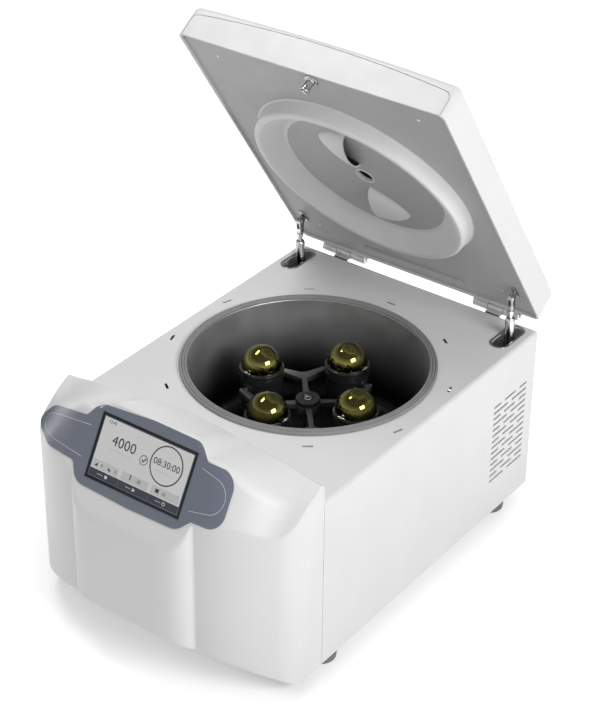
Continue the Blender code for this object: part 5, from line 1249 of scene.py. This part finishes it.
# %% Screws
def domed_screw(radius, height):
    """A domed head with a cross recess, its seat at the origin, pointing up."""
    head = [(0, height), (radius * 0.45, height * 0.93), (radius * 0.80, height * 0.62),
            (radius, height * 0.18), (radius, -0.0004), (0, -0.0004)]
    shape = turn_on_lathe(head, 32)
    arm, deep = radius * 0.52, height * 0.45
    for turn in (0.0, math.pi / 2):
        slot_block = block((-arm, -radius * 0.11, deep), (arm, radius * 0.11, height + 0.001))
        shape = carve(shape, moved(slot_block, Matrix.Rotation(turn + 0.4, 4, "Z")))
    return shape


def screws_at(places, radius, height, facing):
    return [placed(moved(domed_screw(radius, height), facing), *place) for place in places]


LINER_SCREW, HINGE_SCREW, PANEL_SCREW = (0.0026, 0.0011), (0.0034, 0.0014), (0.0036, 0.0006)
FACE_DOWN, FACE_BACK = Matrix.Rotation(math.pi, 4, "X"), Matrix.Rotation(-math.pi / 2, 4, "X")
places = [(x, LID_REAR - inwards, LINER_BOTTOM) for x in (-0.162, 0.162) for inwards in (0.052, 0.488)]
make_piece("liner_screws", together(*screws_at(places, *LINER_SCREW, FACE_DOWN)), HINGE_METAL, "lid",
           place=LID)

# %% [markdown]
# ## Hinges
# Each hinge has three knuckles on one pin: the middle one belongs to the housing and the outer
# two to the lid. The leaves are pressed plates with rounded corners, screwed to the rear of each.

# %% Hinge parts
BARREL, PIN_RADIUS, KNUCKLE, LEAF = 0.0078, 0.003, 0.026, 0.0025
HOUSING_REAR, HINGE_START = 0.2697, 0.098


def hinge_knuckle(left, right):
    barrel = bar_between(BARREL, (left, HINGE_Y, HINGE_Z), (right, HINGE_Y, HINGE_Z), 48)
    return soften(barrel, 0.0007, 2, 1.0)


def hinge_plate(left, right, wall, low, high, hooks):
    """A leaf that stands along the wall, with a tie to each knuckle and small screw heads."""
    outline = rounded_rectangle(left, low, right, high, 0.004, 5)
    stand = Matrix(((1, 0, 0, 0), (0, 0, -1, wall + LEAF), (0, 1, 0, 0), (0, 0, 0, 1)))
    shapes = [soften(moved(press(outline, 0.0, LEAF), stand), 0.0005, 2, 1.0)]
    for start, end, bottom, top in hooks:
        shapes.append(block((start, wall, bottom), (end, HINGE_Y - PIN_RADIUS, top)))
    places = [(x, wall + LEAF, (low + high) / 2) for x in (left + 0.010, right - 0.010)]
    return shapes + screws_at(places, *HINGE_SCREW, FACE_BACK)


def hinge(side, word):
    low, high = sorted((side * HINGE_START, side * (HINGE_START + 3 * KNUCKLE)))
    first, second = low + KNUCKLE + SEAT, high - KNUCKLE - SEAT
    fixed = [hinge_knuckle(first, second)]
    fixed += hinge_plate(first, second, HOUSING_REAR + SEAT, HINGE_Z - 0.045, HINGE_Z - 0.0025,
                         [(first, second, HINGE_Z - 0.0050, HINGE_Z - 0.0028)])
    make_piece(f"fixed_leaf_{word}", together(*fixed), HINGE_METAL, "base",
               stands_for=[f"hinge_base_{word}"])
    swinging = [hinge_knuckle(low, first - 0.0006), hinge_knuckle(second + 0.0006, high)]
    ties = [(low, first - 0.0006, HINGE_Z - 0.0012, HINGE_Z + 0.0020),
            (second + 0.0006, high, HINGE_Z - 0.0012, HINGE_Z + 0.0020)]
    wall = LID_REAR + SEAT
    swinging += hinge_plate(low, high, wall, HINGE_Z + 0.0095, HINGE_Z + 0.040, [])
    for start, end, bottom, top in ties:
        swinging.append(block((start, wall, bottom), (end, HINGE_Y - PIN_RADIUS, top)))
        swinging.append(block((start, wall, HINGE_Z), (end, wall + LEAF, HINGE_Z + 0.012)))
    make_piece(f"swinging_leaf_{word}", together(*swinging), HINGE_METAL, "lid", place=LID,
               stands_for=[f"hinge_leaf_{word}"])
    ends = [(x, HINGE_Y, HINGE_Z) for x in (low - 0.0012, high + 0.0012)]
    make_piece(f"pin_{word}", bar_between(PIN_RADIUS, *ends, 32, 0.0006), FRAME_STEEL, "lid",
               place=LID, stands_for=[f"hinge_pin_{word}"])


for side, word in SIDES:
    hinge(side, word)

# %% [markdown]
# ## Gas struts
# Each strut pushes the lid up. Its chrome tube hangs from a small bracket under the lid, and its
# rod comes out below through an oval slot in the deck, with a bright trim plate round it. Tube
# and rod are turned parts, drawn along their own axis with the upper pivot as the origin.

# %% Strut frames
STRUT_X, STRUT_FOOT = 0.188, Vector((0.0, 0.240, 0.080))
closed_pivot = Vector((0.0, 0.207, 0.262))
open_pivot = (HOUSING.inverted() @ LID) @ closed_pivot
reach = STRUT_FOOT - open_pivot
STRUT_LENGTH = reach.length
STRUT_LEAN = math.atan2(reach.y, -reach.z)
print("strut length", round(STRUT_LENGTH, 4), "lean", round(math.degrees(STRUT_LEAN), 2))


def strut_place(side):
    pivot = Matrix.Translation((side * STRUT_X, open_pivot.y, open_pivot.z))
    return HOUSING @ pivot @ Matrix.Rotation(STRUT_LEAN, 4, "X")


# %% Strut tube, rod and bracket
TUBE_RADIUS, ROD_RADIUS, TUBE_LENGTH, TUBE_START = 0.0072, 0.0038, 0.120, -0.032
FORK_ROUND = 0.0055


def strut_tube():
    start, end = TUBE_START, TUBE_START - TUBE_LENGTH
    section = rounded_chain([
        (0, start, 0), (TUBE_RADIUS - 0.0016, start, 0.0012), (TUBE_RADIUS, start - 0.0030, 0.0015),
        (TUBE_RADIUS, start - 0.0400, 0), (TUBE_RADIUS, end + 0.0070, 0),
        (TUBE_RADIUS - 0.0006, end + 0.0062, 0), (TUBE_RADIUS - 0.0006, end + 0.0050, 0),
        (TUBE_RADIUS, end + 0.0042, 0), (TUBE_RADIUS, end, 0.0014), (ROD_RADIUS + SEAT, end, 0)], 4)
    section += [(ROD_RADIUS + SEAT, end + 0.110), (0, end + 0.110)]
    tube = turn_on_lathe(section, 48)
    neck = turned([
        (0, -0.0330, 0), (0.0036, -0.0330, 0), (0.0036, -0.0250, 0), (0.0050, -0.0245, 0),
        (0.0050, -0.0200, 0.0006), (0.0036, -0.0195, 0), (0.0036, -0.0130, 0), (0, -0.0130, 0)], 3, 32)
    cheeks = []
    for side in (-1, 1):
        inner_x, outer_x = sorted((side * 0.0017, side * 0.0039))
        outline = [(-0.0042, -0.0150), (0.0042, -0.0150)] + arc_points(0, 0, FORK_ROUND, 0, 180, 14)
        cheeks.append(soften(press_across(outline, inner_x, outer_x), 0.0004, 2, 0.9))
    yoke = block((-0.0042, -0.0047, -0.0190), (0.0042, 0.0047, -0.0105), 0.0008, 3)
    pin = bar_between(0.0022, (-0.0047, 0, 0), (0.0047, 0, 0), 24, 0.0005)
    return together(tube, neck, yoke, pin, *cheeks)


def strut_rod():
    shank = bar_between(ROD_RADIUS, (0, 0, -0.122), (0, 0, -STRUT_LENGTH + 0.0062), 36)
    eye = turned([(0, -0.003, 0), (0.007, -0.003, 0.0006), (0.007, 0.003, 0.0006), (0, 0.003, 0)], 3, 40)
    foot = Matrix.Translation((0, 0, -STRUT_LENGTH)) @ Matrix.Rotation(math.pi / 2, 4, "Y")
    return together(shank, moved(eye, foot))


def strut_bracket():
    """A small plate against the liner with an ear that the fork grips."""
    top = LINER_BOTTOM - SEAT - closed_pivot.z
    base = block((-0.0045, -0.013, top - 0.0016), (0.0045, 0.013, top), 0.0006, 2)
    ear = [(-0.0062, top - 0.001), (0.0085, top - 0.001)] + arc_points(0, 0, FORK_ROUND, 0, -180, 14)
    plate = soften(press_across(ear, -0.0014, 0.0014), 0.0004, 2, 0.9)
    return together(base, plate)


for side, word in SIDES:
    make_piece(f"gas_tube_{word}", strut_tube(), CHROME, f"strut_tube_{word}",
               place=strut_place(side), stands_for=[f"strut_tube_{word}"])
    make_piece(f"gas_rod_{word}", strut_rod(), CHROME, f"strut_rod_{word}",
               place=strut_place(side), stands_for=[f"strut_rod_{word}"])
    seat = LID @ Matrix.Translation((side * STRUT_X, closed_pivot.y, closed_pivot.z))
    make_piece(f"bracket_{word}", strut_bracket(), CHROME, "lid", place=seat,
               stands_for=[f"strut_bracket_{word}"])


# %% Trim plates round the slots
SLOT_FRONT, SLOT_REAR, SLOT_WIDTH, DECK_TOP = 0.197, 0.262, 0.024, 0.2673


def stadium(width, length, steps=14):
    radius, straight = width / 2, (length - width) / 2
    return arc_points(0, straight, radius, 0, 180, steps) + arc_points(0, -straight, radius, 180, 360, steps)


for side, word in SIDES:
    length = SLOT_REAR - SLOT_FRONT
    plate = press(stadium(SLOT_WIDTH + 0.006, length + 0.006), DECK_TOP, DECK_TOP + 0.0011)
    plate = carve(plate, press(stadium(SLOT_WIDTH, length), 0.26, 0.28))
    plate = placed(soften(plate, 0.0004, 3, 1.0), side * STRUT_X, (SLOT_FRONT + SLOT_REAR) / 2, 0.0)
    make_piece(f"oval_trim_{word}", plate, CHROME, "base", stands_for=[f"slot_trim_{word}"])

# %% [markdown]
# ## Rotor
# A dark casting with four forked arms turns on the motor shaft. Between two forks hangs a
# bucket on two trunnion pins, free to swing out as the rotor speeds up. A knurled clamp knob with
# a bright screw holds the rotor down.

# %% Rotor casting
ROTOR = HOUSING @ Matrix.Rotation(math.radians(-4), 4, "Z")
ARM_TOP, ARM_BOTTOM, HUB_TOP, HUB_RADIUS = 0.2015, 0.1925, 0.208, 0.0184
BUCKET_ORBIT, BUCKET_RADIUS, PIN_HEIGHT = 0.088, 0.033, 0.200
PIN_OUT = BUCKET_RADIUS + 0.003


def beside_bucket(along, aside):
    """A point given along a bucket's radius and beside it, turned into an arm's own plan."""
    return ((along + aside) * math.sqrt(0.5), (aside - along) * math.sqrt(0.5))


def arm(turn, top):
    """One arm in plan along +X: slim by the hub, then a fork to a pin block beside each bucket."""
    right = [(0.008, -0.0075), (HUB_RADIUS + 0.004, -0.0045), (0.062, -0.0035)]
    for along, out in ((-0.008, 0.0), (0.008, 0.0), (0.007, 0.006), (-0.001, 0.008)):
        right.append(beside_bucket(BUCKET_ORBIT + along, PIN_OUT + out))
    right.append((0.080, -0.004))
    plan = right + [(x, -y) for x, y in reversed(right)]
    shape = soften(press(plan, ARM_BOTTOM, top), 0.0009, 3, 0.5)
    return moved(shape, Matrix.Rotation(turn, 4, "Z"))


shapes = [turned([(0.0075, 0.180, 0), (0.0135, 0.180, 0.001), (0.0175, 0.186, 0.002),
                  (0.0175, ARM_TOP - 0.0010, 0.0008), (0.0075, ARM_TOP - 0.0010, 0)], 4, 64)]
for index in range(4):
    shapes.append(arm(math.radians(45 + 90 * index), ARM_TOP - 0.0004 * (index % 2)))
    for side in (-1, 1):
        pin = bar_between(0.0034, (BUCKET_ORBIT, side * (PIN_OUT + 0.003), PIN_HEIGHT),
                          (BUCKET_ORBIT, side * (BUCKET_RADIUS - 0.003), PIN_HEIGHT), 28, 0.0004)
        shapes.append(moved(pin, Matrix.Rotation(math.radians(90 * index), 4, "Z")))
make_piece("rotor_casting", together(*shapes), ROTOR_DARK, "rotor", place=ROTOR,
           stands_for=["rotor_cross"])

# %% Clamp knob
knob = turned([(0, ARM_TOP + SEAT, 0), (HUB_RADIUS - 0.0004, ARM_TOP + SEAT, 0.0006),
               (HUB_RADIUS - 0.0004, HUB_TOP, 0.0012), (0.0095, HUB_TOP, 0.0005),
               (0.0085, HUB_TOP - 0.0016, 0.0004), (0, HUB_TOP - 0.0016, 0)], 4, 144)
for vert in knob.verts:
    radius = vert.co.to_2d().length
    if radius > HUB_RADIUS - 0.0008 and math.cos(36 * math.atan2(vert.co.y, vert.co.x)) < 0:
        vert.co.x *= (radius - 0.0007) / radius
        vert.co.y *= (radius - 0.0007) / radius
make_piece("clamp_knob", knob, BLACK_PLASTIC, "rotor", place=ROTOR,
           stands_for=["rotor_knob"])
screw_ring = turned([(0.0026, HUB_TOP - 0.0012, 0), (0.0030, HUB_TOP + 0.0004, 0.0003),
                     (0.0056, HUB_TOP + 0.0002, 0.0005), (0.0062, HUB_TOP - 0.0017, 0),
                     (0.0026, HUB_TOP - 0.0017, 0)], 4, 48)
# The socket is a thin black hexagon in the ring's hole: painted shade for the depth of a real socket.
socket = press(arc_points(0, 0, 0.0029, 0, 300, 5), HUB_TOP - 0.0017, HUB_TOP - 0.0010)
make_piece("clamp_screw", together(screw_ring, painted(socket, 1)), [CHROME, BLACK_PLASTIC], "rotor",
           place=ROTOR)

# %% [markdown]
# ## Buckets and caps
# Each black bucket is a thick turned cup with a boss for its pins. A mirror-bright olive-gold
# dome seals it. A black collar carries the dome, and two small silver clips hold it down.
# The collar, the dome and the clips lift off together, so all ride on the cap's body.

# %% Bucket
BUCKET_TOP, BUCKET_BOTTOM = 0.0185, -0.075


def bucket_cup():
    outer, inner = BUCKET_RADIUS - 0.0015, BUCKET_RADIUS - 0.0045
    cup = turned([
        (0, BUCKET_BOTTOM, 0), (outer - 0.008, BUCKET_BOTTOM, 0.010),
        (outer - 0.002, BUCKET_BOTTOM + 0.016, 0.010), (outer, BUCKET_TOP - 0.012, 0.0005),
        (outer + 0.001, BUCKET_TOP - 0.0105, 0.0005), (outer + 0.001, BUCKET_TOP, 0.0005),
        (inner, BUCKET_TOP, 0.0006), (inner - 0.002, BUCKET_BOTTOM + 0.016, 0.010),
        (inner - 0.008, BUCKET_BOTTOM + 0.005, 0.008), (0, BUCKET_BOTTOM + 0.005, 0)], 6, 72)
    bosses = []
    for side in (-1, 1):
        boss = [(0.0040, 0.0), (0.0085, 0.0), (0.0085, 0.0046), (0.0078, 0.0052), (0.0040, 0.0052)]
        turn = Matrix.Rotation(-side * math.pi / 2, 4, "X")
        stand = Matrix.Translation((0, side * (inner - 0.0008), 0))
        bosses.append(moved(turn_on_lathe(boss, 36), stand @ turn))
    return together(cup, *bosses)


# %% Cap
CAP_RADIUS, CAP_HEIGHT, CAP_BASE = 0.030, 0.0385, 0.0188


def cap_dome():
    spring, foot, top = CAP_BASE + 0.0085, CAP_BASE + 0.004, CAP_BASE + CAP_HEIGHT
    sides = []
    for radius, rise in ((CAP_RADIUS - 0.0004, top - spring), (CAP_RADIUS - 0.002, top - 0.002 - spring)):
        angles = [math.pi / 2 * step / 24 for step in range(24)]
        curve = [(radius * math.cos(angle), spring + rise * math.sin(angle)) for angle in angles]
        sides.append([(radius, foot)] + curve + [(0.0, spring + rise)])
    return turn_on_lathe(sides[0] + sides[1][::-1], 72)


def cap_collar():
    rim = BUCKET_RADIUS - 0.0002
    ring = turned([
        (CAP_RADIUS - 0.002, CAP_BASE, 0), (rim, CAP_BASE, 0.0006), (rim, CAP_BASE + 0.0050, 0.0010),
        (CAP_RADIUS + 0.0002, CAP_BASE + 0.0066, 0.0006), (CAP_RADIUS - 0.0006, CAP_BASE + 0.0076, 0),
        (CAP_RADIUS - 0.002, CAP_BASE + 0.0060, 0)], 4, 72)
    lugs = []
    for side in (-1, 1):
        low, high = sorted((side * 0.0288, side * 0.0345))
        lugs.append(block((-0.0050, low, CAP_BASE + 0.0006), (0.0050, high, CAP_BASE + 0.0080), 0.0008, 3))
    return together(ring, *lugs)


def cap_clips():
    """Silver hooks over the collar: a bent tongue and a cross pin on each side."""
    hook = ((0.0338, -0.0002), (0.0345, -0.0002), (0.0345, 0.0096), (0.0326, 0.0120), (0.0310, 0.0112),
            (0.0337, 0.0088))
    shapes = []
    for side in (-1, 1):
        outline = [(side * y, CAP_BASE + z) for y, z in hook]
        ends = [(x, side * 0.0322, CAP_BASE + 0.0094) for x in (-0.0058, 0.0058)]
        shapes += [press_across(outline, -0.0026, 0.0026), bar_between(0.0013, *ends, 20, 0.0003)]
    return together(*shapes)


# %% Four of each
for index in range(4):
    angle = math.radians(90 * index)
    pivot = (BUCKET_ORBIT * math.cos(angle), BUCKET_ORBIT * math.sin(angle), PIN_HEIGHT)
    hang = ROTOR @ Matrix.Translation(pivot) @ Matrix.Rotation(angle, 4, "Z")
    number = index + 1
    make_piece(f"bucket_cup_{number}", bucket_cup(), BUCKET_BLACK, f"bucket_{number}",
               place=hang, stands_for=[f"bucket_{number}"])
    make_piece(f"cap_dome_{number}", cap_dome(), OLIVE_GOLD, f"cap_{number}", place=hang,
               stands_for=[f"bucket_cap_{number}"])
    make_piece(f"cap_collar_{number}", cap_collar(), BUCKET_BLACK, f"cap_{number}",
               place=hang)
    make_piece(f"cap_clips_{number}", cap_clips(), CHROME, f"cap_{number}", place=hang)

# %% [markdown]
# ## Rear screws
# The rear panel is held by six small domed screws along its sides. Besides the hinges' screws they
# are the only fasteners on the outside of the housing.

# %% Rear screws
REAR_PANEL_FACE = 0.2691
places = [(x, REAR_PANEL_FACE, z) for x in (-0.198, 0.198) for z in (0.024, 0.140, 0.240)]
make_piece("rear_panel_screws", together(*screws_at(places, *PANEL_SCREW, FACE_BACK)), FRAME_STEEL,
           "base")
